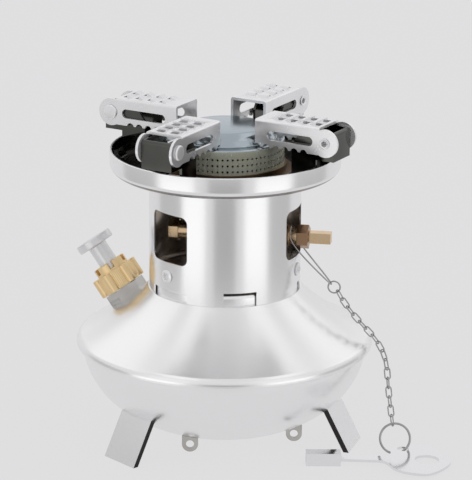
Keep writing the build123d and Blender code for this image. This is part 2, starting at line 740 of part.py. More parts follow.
def filler_base(dome):
    """Hexagonal boss welded to the tank, with the threaded neck for the cap."""
    boss = hexagon(FILLER_HEX_R, -FILLER_HEX_ROOT, FILLER_HEX_HEIGHT)
    outside = FILLER_PLANE * boss - dome
    neck = FILLER_PLANE * rod(FILLER_NECK_R, -FILLER_HEX_ROOT / 2, FILLER_NECK_TOP)
    bore = FILLER_PLANE * rod(BARREL_R, -FILLER_HEX_ROOT, FILLER_NECK_TOP)
    return outside.solids().sort_by(Axis.Z)[-1] + neck - bore


def filler_cap():
    """Brass cap with six lobes and a notched crown, which guides the pump's rod."""
    skirt_bottom = FILLER_HEX_HEIGHT + FREE_GAP
    cap = rod(CAP_SKIRT_R, skirt_bottom, CAP_LOBE_TOP - CAP_STEP)
    cap += rod(CAP_CROWN_R, skirt_bottom, CAP_CROWN_TOP)
    lobe = Pos(CAP_LOBE_PITCH_R, 0, 0) * rod(CAP_LOBE_R, skirt_bottom, CAP_LOBE_TOP)
    for index in range(CAP_LOBES):
        cap += Rot(0, 0, index * 360 / CAP_LOBES) * lobe
    notch = Pos(0, 0, CAP_CROWN_TOP) * Box(4 * CAP_CROWN_R, CAP_NOTCH_WIDTH, 2 * CAP_NOTCH_DEPTH)
    for index in range(CAP_NOTCHES):
        cap -= Rot(0, 0, (index + 0.5) * 180 / CAP_NOTCHES) * notch
    cap -= rod(CAP_BORE_R, skirt_bottom, CAP_ROOF)
    return FILLER_PLANE * (cap - rod(PLUNGER_R + RUNNING_CLEARANCE, skirt_bottom, CAP_CROWN_TOP))


def pump_plunger():
    """Pump rod with its round knob."""
    knob_top = KNOB_BOTTOM + KNOB_HEIGHT
    return FILLER_PLANE * turned(
        (0, -PISTON_TOP),
        (PLUNGER_R, -PISTON_TOP),
        (PLUNGER_R, KNOB_BOTTOM),
        (KNOB_R - KNOB_EDGE, KNOB_BOTTOM),
        (KNOB_R, KNOB_BOTTOM + KNOB_EDGE),
        (KNOB_R, knob_top - KNOB_EDGE),
        (KNOB_R - KNOB_EDGE, knob_top),
        (0, knob_top),
    )


def pump_piston():
    """Leather cup on the rod's inner end."""
    return FILLER_PLANE * rod(BARREL_BORE_R - PISTON_CLEARANCE, -PISTON_TOP - PISTON_HEIGHT, -PISTON_TOP)


def pump_barrel():
    """Closed tube in the tank that the piston runs in, held by a flange on the neck."""
    return FILLER_PLANE * turned(
        (0, -BARREL_END),
        (BARREL_R, -BARREL_END),
        (BARREL_R, FILLER_NECK_TOP),
        (BARREL_FLANGE_R, FILLER_NECK_TOP),
        (BARREL_FLANGE_R, FLANGE_TOP),
        (BARREL_BORE_R, FLANGE_TOP),
        (BARREL_BORE_R, BARREL_R - BARREL_BORE_R - BARREL_END),
        (0, BARREL_R - BARREL_BORE_R - BARREL_END),
    )


def check_valve():
    """One-way valve under the pump barrel."""
    return FILLER_PLANE * rod(CHECK_VALVE_R, -BARREL_END - CHECK_VALVE_LENGTH, -BARREL_END)


# ================================================================ chain, ring and key
def wire_bar(start, end, side):
    """Square wire between two points, half a side longer at each end."""
    line = end - start
    plane = Plane(start, z_dir=line)
    bar = Box(side, side, line.length + side, align=(Align.CENTER, Align.CENTER, Align.MIN))
    return plane * Pos(0, 0, -side / 2) * bar


VALVE_OUT = Vector(cos(radians(VALVE_AZIMUTH)), sin(radians(VALVE_AZIMUTH)), 0)
VALVE_ACROSS = Vector(-VALVE_OUT.Y, VALVE_OUT.X, 0)
SILL_POINT = VALVE_OUT * CLIP_SILL_R + Vector(0, 0, CLIP_SILL_Z)
CLIP_PULL = (Vector(*CLIP_END) - SILL_POINT).normalized()
ROUND_LINK_HOLE_R = ROUND_LINK_R - CLIP_WIRE
ROUND_LINK_CENTRE = Vector(*CLIP_END) + CLIP_PULL * (ROUND_LINK_HOLE_R - CLIP_WIRE / 2 - LINK_SLACK)
RING_UP = Vector(-sin(radians(RING_SIDE)), cos(radians(RING_SIDE)) * sin(radians(RING_LEAN)), 0)
RING_UP += Vector(0, 0, cos(radians(RING_SIDE)) * cos(radians(RING_LEAN)))


def chain_clip():
    """Long wire loop over the gland's neck that carries the chain."""
    hold_r = (GLAND_NECK_R + FREE_GAP + CLIP_WIRE / 2) / cos(radians(CLIP_ARC_STEP / 2))
    neck_at = CROSS_FLANGE_AT + CROSS_FLANGE + FREE_GAP + CLIP_WIRE / 2
    neck = VALVE_OUT * neck_at + Vector(0, 0, VALVE_Z)
    loop = []
    for step in range(round(180 / CLIP_ARC_STEP) + 1):
        angle = radians(step * CLIP_ARC_STEP)
        loop.append(neck + VALVE_ACROSS * (hold_r * cos(angle)) + Vector(0, 0, hold_r * sin(angle)))
    low = [SILL_POINT, Vector(*CLIP_END)]
    widths = (hold_r, CLIP_END_HALF_WIDTH)
    loop += [point - VALVE_ACROSS * width for point, width in zip(low, widths)]
    loop += [point + VALVE_ACROSS * width for point, width in reversed(list(zip(low, widths)))]
    bars = [wire_bar(a, b, CLIP_WIRE) for a, b in zip(loop, loop[1:] + loop[:1])]
    return bars[0].fuse(*bars[1:])


def link_outline(length, width):
    """Rectangle with cut corners."""
    cut = width * LINK_CORNER_SHARE
    x, y = length / 2, width / 2
    right = ((x, cut - y), (x, y - cut), (x - cut, y))
    left = ((cut - x, y), (-x, y - cut), (-x, cut - y))
    return Polygon(*right, *left, (cut - x, -y), (x - cut, -y), align=None)


def chain_link(centre, along, across_dir):
    """One flat eight-sided link, its long side along the chain."""
    inner = link_outline(LINK_LENGTH - 2 * LINK_WIRE, LINK_WIDTH - 2 * LINK_WIRE)
    plane = Plane(centre, x_dir=along, z_dir=across_dir)
    return plane * extrude(link_outline(LINK_LENGTH, LINK_WIDTH) - inner, LINK_WIRE / 2, both=True)


def key_chain():
    """A round link in the clip, then links threaded through each other, each turned a quarter."""
    hang = LINK_LENGTH / 2 - LINK_WIRE - LINK_PITCH / 2
    start = ROUND_LINK_CENTRE + CLIP_PULL * (ROUND_LINK_HOLE_R + hang - LINK_SLACK)
    end = Vector(*RING_CENTRE) + RING_UP * (RING_R - RING_WIRE + hang - LINK_SLACK)
    route = Spline(start, *CHAIN_ROUTE, end)
    count = 2 * round(route.length / LINK_PITCH / 2)
    round_link = RegularPolygon(ROUND_LINK_R, ROUND_LINK_SIDES)
    round_link -= RegularPolygon(ROUND_LINK_HOLE_R, ROUND_LINK_SIDES)
    round_plane = Plane(ROUND_LINK_CENTRE, x_dir=CLIP_PULL, z_dir=VALVE_ACROSS)
    links = [round_plane * extrude(round_link, CLIP_WIRE / 2, both=True)]
    for index in range(count):
        place = (index + 0.5) / count
        along = route % place
        level = along.cross(Vector(0, 0, 1)).normalized()
        upright = level.cross(along).normalized()
        links.append(chain_link(route @ place, along, level if index % 2 else upright))
    return group(links)


def key_ring():
    """Split ring through the key's small hole, standing on the ground."""
    ring = RegularPolygon(RING_R, RING_SIDES) - RegularPolygon(RING_R - RING_WIRE, RING_SIDES)
    standing = Rot(90 - RING_LEAN, 0, 0) * extrude(ring, RING_WIRE / 2, both=True)
    return Pos(*RING_CENTRE) * standing


def key_plate():
    """Leaf-shaped grip of the key, seen from above."""
    tip = KEY_TIP_X - KEY_X
    neck_end = KEY_NECK_END_X - KEY_X
    neck = KEY_NECK_WIDTH / 2
    front = [(neck_end, -neck)] + [(x - KEY_X, -half) for x, half in KEY_LEAF]
    rear = [(x, -y) for x, y in reversed(front)]
    leaf_edge = Spline(*front, (tip, 0), *rear, tangents=((1, 0), (-1, 0)))
    neck_edge = Polyline((neck_end, neck), (SOCKET_DEPTH, neck), (SOCKET_DEPTH, -neck), (neck_end, -neck))
    leaf = make_face([*leaf_edge.edges(), *neck_edge.edges()])
    leaf -= Pos(KEY_HOLE_X - KEY_X, 0) * Circle(KEY_HOLE_R)
    ring_hole = Pos(KEY_RING_HOLE[0] - KEY_X, KEY_RING_HOLE[1] - KEY_Y) * Circle(KEY_RING_HOLE_R)
    return leaf - ring_hole


def valve_key():
    """Key for the valve: a square socket, and a sheet grip that slopes down over the ring."""
    socket = Box(SOCKET_LENGTH, SOCKET_SIZE, SOCKET_SIZE, align=(Align.MIN, Align.CENTER, Align.MIN))
    bore = Box(SOCKET_DEPTH, SOCKET_BORE, SOCKET_BORE, align=(Align.MIN, Align.CENTER, Align.CENTER))
    sheet_z = (SOCKET_SIZE - KEY_SHEET) / 2
    slope = degrees(atan2(sheet_z - KEY_TIP_LIFT, KEY_TIP_X - KEY_X - SOCKET_DEPTH))
    hinge_line = Pos(SOCKET_DEPTH, 0, sheet_z) * Rot(0, slope, 0) * Pos(-SOCKET_DEPTH, 0, 0)
    key = socket - Pos(0, 0, SOCKET_SIZE / 2) * bore
    key += hinge_line * extrude(key_plate(), KEY_SHEET)
    return Pos(KEY_X, KEY_Y, 0) * key


# ================================================================ all pieces
def all_pieces():
    """Every piece of the stove by its file name."""
    bowl = full_bowl()
    dome = full_dome()
    pieces = {
        "tank_upper": tank_upper(),
        "tank_lower": tank_lower(),
        "base_eyelets": base_eyelets(bowl),
        "burner_housing": burner_housing(),
        "housing_screws": housing_screws(),
        "drip_tray": drip_tray(),
        "burner_bowl": burner_bowl(),
        "flame_ring": flame_ring(),
        "burner_cap": burner_cap(),
        "vaporizer_stem": vaporizer_stem(),
        "barrel_plug": barrel_plug(),
        "gland_packing": gland_packing(),
        "gland_nut": gland_nut(),
        "valve_spindle": valve_spindle(),
        "jet_nipple": jet_nipple(),
        "fuel_tube": fuel_tube(),
        "filler_base": filler_base(dome),
        "filler_cap": filler_cap(),
        "pump_plunger": pump_plunger(),
        "pump_piston": pump_piston(),
        "pump_barrel": pump_barrel(),
        "check_valve": check_valve(),
        "chain_clip": chain_clip(),
        "key_chain": key_chain(),
        "key_ring": key_ring(),
        "valve_key": valve_key(),
    }
    for name, azimuth in THREEFOLD_AZIMUTHS.items():
        pieces[f"foot_{name}"] = foot(azimuth, bowl)
    for name, azimuth in ARM_AZIMUTHS.items():
        pieces[f"arm_bracket_{name}"] = arm_bracket(azimuth)
        pieces[f"pot_arm_{name}"] = pot_arm(azimuth)
        pieces[f"arm_pin_{name}"] = arm_pin(azimuth)
    return pieces


os.makedirs("parts", exist_ok=True)
for piece_name, piece in all_pieces().items():
    export_step(piece, f"parts/{piece_name}.step")
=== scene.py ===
"""Looks of the saucer-shaped camping pressure stove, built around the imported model.

Lengths are millimetres in the classes and metres in the meshes. Z points up, the ground is at
z = 0, the stove's axis is the Z axis and X points to the right of the front view. Azimuths are
degrees, anticlockwise seen from above, from +X. New pieces are surfaces worked out with numpy.
"""

import json
import logging
import math
from dataclasses import dataclass, replace
from enum import Enum

import bmesh
import bpy
import numpy as np
from mathutils import Euler, Matrix, Vector

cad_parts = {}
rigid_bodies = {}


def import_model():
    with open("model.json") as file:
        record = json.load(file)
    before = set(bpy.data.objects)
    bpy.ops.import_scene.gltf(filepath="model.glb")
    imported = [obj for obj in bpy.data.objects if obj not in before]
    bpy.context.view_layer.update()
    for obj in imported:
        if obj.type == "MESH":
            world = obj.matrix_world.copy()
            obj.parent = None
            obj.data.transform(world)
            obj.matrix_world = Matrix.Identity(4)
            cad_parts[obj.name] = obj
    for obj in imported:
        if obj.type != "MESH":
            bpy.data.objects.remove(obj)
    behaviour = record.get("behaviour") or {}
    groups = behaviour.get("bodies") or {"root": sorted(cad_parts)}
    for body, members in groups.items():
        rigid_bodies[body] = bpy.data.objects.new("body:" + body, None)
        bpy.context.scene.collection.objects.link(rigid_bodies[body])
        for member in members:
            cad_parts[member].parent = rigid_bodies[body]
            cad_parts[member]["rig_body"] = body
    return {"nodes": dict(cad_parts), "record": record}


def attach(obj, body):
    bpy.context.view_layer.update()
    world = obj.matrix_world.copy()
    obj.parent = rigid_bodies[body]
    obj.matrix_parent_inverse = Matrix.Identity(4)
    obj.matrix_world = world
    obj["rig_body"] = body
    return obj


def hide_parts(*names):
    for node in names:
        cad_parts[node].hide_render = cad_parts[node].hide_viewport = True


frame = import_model()

MM = 0.001
MERGE_DISTANCE = 1e-7
SHARP_ANGLE = 32.0
ROUNDED_ANGLE = 38.0
SAME_FACE_ANGLE = 0.6
CORNER_CUT = 0.25
Array = np.ndarray
Colour = tuple[float, float, float]
log = logging.getLogger("stove")


# ---------------------------------------------------------------- surfaces
@dataclass
class Surface:
    """Points in millimetres and the quads between them."""

    points: Array
    faces: Array

    @staticmethod
    def joined(parts: list["Surface"]) -> "Surface":
        """One surface of several, with the face numbers moved on by the points before them.

        Args:
            parts: the surfaces, with as many corners to a face.

        Returns:
            The joined surface.
        """
        first = np.cumsum([0] + [len(part.points) for part in parts[:-1]])
        faces = [part.faces + start for part, start in zip(parts, first)]
        return Surface(np.concatenate([part.points for part in parts]), np.concatenate(faces))

    def placed(self, origin: Array, x_axis: Array, y_axis: Array, z_axis: Array) -> "Surface":
        """The surface carried into another frame: origin + x * X + y * Y + z * Z.

        Args:
            origin: where the local origin goes.
            x_axis, y_axis, z_axis: unit directions of the local axes.

        Returns:
            A new surface with the same faces.
        """
        axes = np.array([x_axis, y_axis, z_axis], dtype=float)
        return Surface(np.asarray(origin, dtype=float) + self.points @ axes, self.faces)


def grid_quads(rows: int, columns: int, close_rows: bool, close_columns: bool) -> Array:
    """Quads between the neighbouring points of a grid that is stored row by row.

    Args:
        rows, columns: size of the grid.
        close_rows, close_columns: whether the last row or column joins the first.

    Returns:
        Array of point numbers, four to a face.
    """
    row = np.arange(rows if close_rows else rows - 1)
    column = np.arange(columns if close_columns else columns - 1)
    row, column = np.meshgrid(row, column, indexing="ij")
    below, beside = (row + 1) % rows * columns, (column + 1) % columns
    row = row * columns
    return np.stack([row + column, row + beside, below + beside, below + column], -1).reshape(-1, 4)


def outline(start: tuple[float, ...], *steps: tuple[float, ...], arc_points: int = 12) -> Array:
    """Profile of lines and arcs.

    A step (r, z) is a line. A step (r, z, bulge) is an arc that stands out by bulge to the right
    of its chord: with half angle h = 2 atan(2 bulge / chord) and t from -h to h, the point is
    sin t / (2 sin h) along the chord from its middle and (cos t - cos h) / (1 - cos h) * bulge out.

    Args:
        start: first point.
        steps: the lines and arcs.
        arc_points: points on each arc.

    Returns:
        Array of (r, z) points.
    """
    rows = [np.array([start[:2]], dtype=float)]
    for step in steps:
        here, there = rows[-1][-1], np.array(step[:2], dtype=float)
        if len(step) == 2:
            rows.append(there[None])
            continue
        run = there - here
        chord = np.hypot(*run)
        half = 2 * math.atan(2 * step[2] / chord)
        t = np.linspace(-half, half, arc_points + 1)[1:, None]
        along = 0.5 + np.sin(t) / (2 * math.sin(half))
        out = (np.cos(t) - math.cos(half)) / (1 - math.cos(half)) * step[2]
        rows.append(here + run * along + np.array([run[1], -run[0]]) / chord * out)
    return np.concatenate(rows)


def spun(profile: Array, turns: int) -> Surface:
    """Closed profile (r, z) carried round Z: x = r cos a, y = r sin a for a from 0 to a full turn.

    Args:
        profile: the closed outline.
        turns: steps round the axis.

    Returns:
        The closed turned surface.
    """
    angle = np.linspace(0, 2 * np.pi, turns, endpoint=False)
    radius, height = profile[:, :1], profile[:, 1:]
    points = np.stack([radius * np.cos(angle), radius * np.sin(angle), height + 0 * angle], -1)
    return Surface(points.reshape(-1, 3), grid_quads(len(profile), turns, True, True))


def wire(path: Array, radii: tuple[float, float], up: Array, closed: bool = True, sides: int = 8) -> Surface:
    """Ellipse carried along a path: p + a cos b * n + c sin b * m.

    n is up made square to the path's direction and m is square to both. The ends of an open
    wire shrink to a point.

    Args:
        path: points that the wire's middle follows.
        radii: a along n and c along m.
        up: a direction that the path never runs along.
        closed: whether the last point joins the first.
        sides: points round the wire.

    Returns:
        The wire's skin.
    """
    ahead = np.roll(path, -1, 0) - np.roll(path, 1, 0)
    if not closed:
        ahead[0], ahead[-1] = path[1] - path[0], path[-1] - path[-2]
    ahead /= np.linalg.norm(ahead, axis=1, keepdims=True)
    normal = up - ahead * (ahead @ up)[:, None]
    normal /= np.linalg.norm(normal, axis=1, keepdims=True)
    other = np.cross(ahead, normal)
    size = np.ones(len(path))
    if not closed:
        path = np.concatenate([path[:1], path, path[-1:]])
        normal = np.concatenate([normal[:1], normal, normal[-1:]])
        other = np.concatenate([other[:1], other, other[-1:]])
        size = np.concatenate([[0], size, [0]])
    turn = np.linspace(0, 2 * np.pi, sides, endpoint=False)
    across = radii[0] * np.cos(turn)[None, :, None] * normal[:, None]
    across = across + radii[1] * np.sin(turn)[None, :, None] * other[:, None]
    points = path[:, None] + across * size[:, None, None]
    return Surface(points.reshape(-1, 3), grid_quads(len(path), sides, closed, True))


def rounded_loop(corners: Array, rounds: int = 4) -> Array:
    """Closed loop with its corners cut: each round puts points at 1/4 and 3/4 of every side.

    Args:
        corners: points of the loop.
        rounds: how often every corner is cut.

    Returns:
        Points of the smooth loop.
    """
    near, far = CORNER_CUT, 1 - CORNER_CUT
    for _ in range(rounds):
        following = np.roll(corners, -1, 0)
        corners = np.stack([far * corners + near * following, near * corners + far * following], 1)
        corners = corners.reshape(-1, 3)
    return corners


def radial_axes(azimuth: float) -> tuple[Array, Array, Array]:
    """Outward, anticlockwise and upward directions at an azimuth.

    Args:
        azimuth: degrees from +X.

    Returns:
        The three unit directions.
    """
    angle = math.radians(azimuth)
    out = np.array([math.cos(angle), math.sin(angle), 0.0])
    around = np.array([-math.sin(angle), math.cos(angle), 0.0])
    return out, around, np.array([0.0, 0.0, 1.0])


# ---------------------------------------------------------------- pieces
def finished_piece(name: str, surface: Surface, sharp_angle: float = SHARP_ANGLE) -> bpy.types.Object:
    """Object of a surface, in metres, with its doubles merged and its faces turned outwards.

    Args:
        name: the piece's name.
        surface: points and faces in millimetres.
        sharp_angle: degrees above which an edge stays sharp.

    Returns:
        The object, at the origin.
    """
    mesh = bpy.data.meshes.new(name)
    mesh.from_pydata((surface.points * MM).tolist(), [], surface.faces.tolist())
    work = bmesh.new()
    work.from_mesh(mesh)
    bmesh.ops.remove_doubles(work, verts=work.verts, dist=MERGE_DISTANCE)
    bmesh.ops.recalc_face_normals(work, faces=work.faces)
    work.to_mesh(mesh)
    work.free()
    mesh.shade_smooth()
    mesh.set_sharp_from_angle(angle=math.radians(sharp_angle))
    piece = bpy.data.objects.new(name, mesh)
    bpy.context.scene.collection.objects.link(piece)
    return piece


def node_surface(node: str) -> Surface:
    """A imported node's triangles as a surface in millimetres, a triangle being three numbers.

    Args:
        node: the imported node.

    Returns:
        Its surface, where it stands.
    """
    mesh = frame["nodes"][node].data
    points = np.empty(len(mesh.vertices) * 3)
    mesh.vertices.foreach_get("co", points)
    mesh.calc_loop_triangles()
    faces = np.empty(len(mesh.loop_triangles) * 3, dtype=int)
    mesh.loop_triangles.foreach_get("vertices", faces)
    return Surface(points.reshape(-1, 3) / MM, faces.reshape(-1, 3))


def with_rounded_edges(piece: bpy.types.Object, width: float) -> bpy.types.Object:
    """Adds a small round to every edge sharper than ROUNDED_ANGLE.

    Args:
        piece: the object.
        width: width of the round, in millimetres.

    Returns:
        The same object.
    """
    rounding = piece.modifiers.new("edge_round", "BEVEL")
    rounding.width = width * MM
    rounding.segments = 2
    rounding.limit_method = "ANGLE"
    rounding.angle_limit = math.radians(ROUNDED_ANGLE)
    rounding.use_clamp_overlap = True
    rounding.harden_normals = True
    return piece


def stands_for(piece: bpy.types.Object, node: str) -> bpy.types.Object:
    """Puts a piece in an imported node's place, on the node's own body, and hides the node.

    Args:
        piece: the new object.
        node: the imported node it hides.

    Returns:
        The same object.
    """
    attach(piece, frame["nodes"][node]["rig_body"])
    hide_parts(node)
    return piece


def refined_node(node: str, edge: float) -> bpy.types.Object:
    """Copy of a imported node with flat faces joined, curves shaded smooth and edges rounded.

    Args:
        node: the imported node.
        edge: width of the edge round, in millimetres.

    Returns:
        The piece that stands for the node.
    """
    piece = finished_piece(f"{node}_finished", node_surface(node))
    work = bmesh.new()
    work.from_mesh(piece.data)
    flat = math.radians(SAME_FACE_ANGLE)
    bmesh.ops.dissolve_limit(work, angle_limit=flat, verts=work.verts, edges=work.edges)
    work.to_mesh(piece.data)
    work.free()
    piece.data.set_sharp_from_angle(angle=math.radians(SHARP_ANGLE))
    return stands_for(with_rounded_edges(piece, edge), node)


SLOT_OF = {row["node"]: row["material_slot"] for row in frame["record"]["subparts"]}


def with_second_finish(piece: bpy.types.Object, first: "Finish", second: "Finish", where: Array) -> None:
    """Gives a bare piece two finishes.

    Args:
        piece: the object, with no material yet.
        first: finish of most faces.
        second: finish of the chosen faces.
        where: true for each chosen face.
    """
    for finish in (first, second):
        piece.data.materials.append(finish.material())
    piece.data.polygons.foreach_set("material_index", where.astype(np.int32))


def face_vectors(piece: bpy.types.Object, kind: str) -> Array:
    """Every face's normal or center, a row to a face.

    Args:
        piece: the object.
        kind: Blender's name for the vector.

    Returns:
        Array of vectors, in metres for a center.
    """
    values = np.empty(len(piece.data.polygons) * 3)
    piece.data.polygons.foreach_get(kind, values)
    return values.reshape(-1, 3)


# ---------------------------------------------------------------- shader effects
PIT_SHARE = 0.4
SCRATCH_TURN = (0.6, 0.4, 1.1)
SCRATCH_SCALE = (90.0, 1500.0, 500.0)
SCRATCH_PEAK = (0.7, 0.78)


@dataclass(frozen=True)
class EffectTree:
    """Small helper that adds nodes to a shader tree and joins them."""

    tree: bpy.types.NodeTree

    def add(self, kind: str, **settings: object) -> bpy.types.Node:
        """Adds a node and sets its named properties.

        Args:
            kind: Blender's name for the node.
            settings: its properties.

        Returns:
            The node.
        """
        node = self.tree.nodes.new(kind)
        for key, value in settings.items():
            setattr(node, key, value)
        return node

    def math(self, operation: str, first: object, second: object = None) -> bpy.types.NodeSocket:
        """Adds a Math node.

        Args:
            operation: Blender's name for it.
            first, second: sockets or numbers.

        Returns:
            Its value socket.
        """
        node = self.add("ShaderNodeMath", operation=operation)
        for slot, given in zip(node.inputs, (first, second)):
            self.feed(given, slot)
        return node.outputs[0]

    def feed(self, given: object, slot: bpy.types.NodeSocket) -> None:
        """Joins a socket to an input, or sets the input to a number.

        Args:
            given: a socket, a number or nothing.
            slot: the input.
        """
        if isinstance(given, bpy.types.NodeSocket):
            self.tree.links.new(given, slot)
        elif given is not None:
            slot.default_value = given


def new_effect(name: str, inputs: dict[str, float], outputs: tuple[str, ...]) -> tuple:
    """Starts a shader node group.

    Args:
        name: the group's name.
        inputs: its number inputs and their defaults, after a Vector input.
        outputs: its number outputs.

    Returns:
        The group, a helper on it, its input node and its output node.
    """
    group = bpy.data.node_groups.new(name, "ShaderNodeTree")
    group.interface.new_socket("Vector", in_out="INPUT", socket_type="NodeSocketVector")
    for label, value in inputs.items():
        socket = group.interface.new_socket(label, in_out="INPUT", socket_type="NodeSocketFloat")
        socket.default_value = value
    for label in outputs:
        group.interface.new_socket(label, in_out="OUTPUT", socket_type="NodeSocketFloat")
    effect = EffectTree(group)
    return group, effect, effect.add("NodeGroupInput"), effect.add("NodeGroupOutput")


def distance_from_axis(tree: EffectTree, parts: bpy.types.Node) -> bpy.types.NodeSocket:
    """Adds sqrt(x^2 + y^2) of a Separate XYZ node's outputs."""
    squares = [tree.math("MULTIPLY", parts.outputs[i], parts.outputs[i]) for i in (0, 1)]
    return tree.math("SQRT", tree.math("ADD", *squares))


def spun_rings_effect() -> bpy.types.NodeTree:
    """Fine rings round the stove's axis: noise over (radius, height) with little change round it.

    Returns:
        The node group.
    """
    inputs = {"Fineness": 9000.0, "Streaks": 14.0}
    group, effect, given, made = new_effect("spun_rings", inputs, ("Height",))
    parts = effect.add("ShaderNodeSeparateXYZ")
    effect.feed(given.outputs["Vector"], parts.inputs[0])
    radius = distance_from_axis(effect, parts)
    angle = effect.math("ABSOLUTE", effect.math("ARCTAN2", parts.outputs[1], parts.outputs[0]))
    place = effect.add("ShaderNodeCombineXYZ")
    scaled = ((radius, "Fineness"), (parts.outputs[2], "Fineness"), (angle, "Streaks"))
    for (value, scale), slot in zip(scaled, place.inputs):
        effect.feed(effect.math("MULTIPLY", value, given.outputs[scale]), slot)
    noise = effect.add("ShaderNodeTexNoise")
    noise.inputs["Scale"].default_value = 1.0
    noise.inputs["Detail"].default_value = 2.0
    effect.feed(place.outputs[0], noise.inputs["Vector"])
    effect.feed(noise.outputs["Fac"], made.inputs["Height"])
    return group


def rolled_sheet_effect() -> bpy.types.NodeTree:
    """Fine lines along one direction: noise that is stretched along the coordinate's X.

    Returns:
        The node group.
    """
    inputs = {"Fineness": 7000.0, "Stretch": 0.03}
    group, effect, given, made = new_effect("rolled_sheet", inputs, ("Height",))
    size = effect.add("ShaderNodeCombineXYZ")
    effect.feed(effect.math("MULTIPLY", given.outputs["Fineness"], given.outputs["Stretch"]), size.inputs[0])
    effect.feed(given.outputs["Fineness"], size.inputs[1])
    effect.feed(given.outputs["Fineness"], size.inputs[2])
    place = effect.add("ShaderNodeVectorMath", operation="MULTIPLY")
    effect.feed(given.outputs["Vector"], place.inputs[0])
    effect.feed(size.outputs[0], place.inputs[1])
    noise = effect.add("ShaderNodeTexNoise")
    noise.inputs["Scale"].default_value = 1.0
    noise.inputs["Detail"].default_value = 3.0
    effect.feed(place.outputs[0], noise.inputs["Vector"])
    effect.feed(noise.outputs["Fac"], made.inputs["Height"])
    return group


def cast_skin_effect() -> bpy.types.NodeTree:
    """Grain of a casting: fine noise with a few shallow pits from a cell pattern.

    Returns:
        The node group.
    """
    group, effect, given, made = new_effect("cast_skin", {"Fineness": 1400.0}, ("Height",))
    noise = effect.add("ShaderNodeTexNoise")
    noise.inputs["Detail"].default_value = 4.0
    pits = effect.add("ShaderNodeTexVoronoi")
    for texture in (noise, pits):
        effect.feed(given.outputs["Vector"], texture.inputs["Vector"])
        effect.feed(given.outputs["Fineness"], texture.inputs["Scale"])
    shallow = effect.math("MULTIPLY", pits.outputs["Distance"], PIT_SHARE)
    effect.feed(effect.math("ADD", noise.outputs["Fac"], shallow), made.inputs["Height"])
    return group


def handling_effect() -> bpy.types.NodeTree:
    """Traces of handling: soft patches, and rare short scratches from a stretched noise's peaks.

    Returns:
        The node group.
    """
    group, effect, given, made = new_effect("handling", {"Patch Size": 40.0}, ("Patches", "Scratches"))
    soft = effect.add("ShaderNodeTexNoise")
    soft.inputs["Detail"].default_value = 1.0
    effect.feed(given.outputs["Vector"], soft.inputs["Vector"])
    effect.feed(given.outputs["Patch Size"], soft.inputs["Scale"])
    effect.feed(soft.outputs["Fac"], made.inputs["Patches"])
    turn = effect.add("ShaderNodeVectorRotate", rotation_type="EULER_XYZ")
    turn.inputs["Rotation"].default_value = SCRATCH_TURN
    effect.feed(given.outputs["Vector"], turn.inputs["Vector"])
    place = effect.add("ShaderNodeVectorMath", operation="MULTIPLY")
    place.inputs[1].default_value = SCRATCH_SCALE
    effect.feed(turn.outputs[0], place.inputs[0])
    line = effect.add("ShaderNodeTexNoise")
    line.inputs["Scale"].default_value = 1.0
    effect.feed(place.outputs[0], line.inputs["Vector"])
    peak = effect.add("ShaderNodeMapRange")
    peak.inputs["From Min"].default_value, peak.inputs["From Max"].default_value = SCRATCH_PEAK
    effect.feed(line.outputs["Fac"], peak.inputs["Value"])
    effect.feed(peak.outputs["Result"], made.inputs["Scratches"])
    return group


class Grain(Enum):
    """How a metal's surface was made."""

    SPUN = "spun_rings"
    SHEET = "rolled_sheet"
    CAST = "cast_skin"


EFFECTS = {
    "spun_rings": spun_rings_effect(),
    "rolled_sheet": rolled_sheet_effect(),
    "cast_skin": cast_skin_effect(),
    "handling": handling_effect(),
}


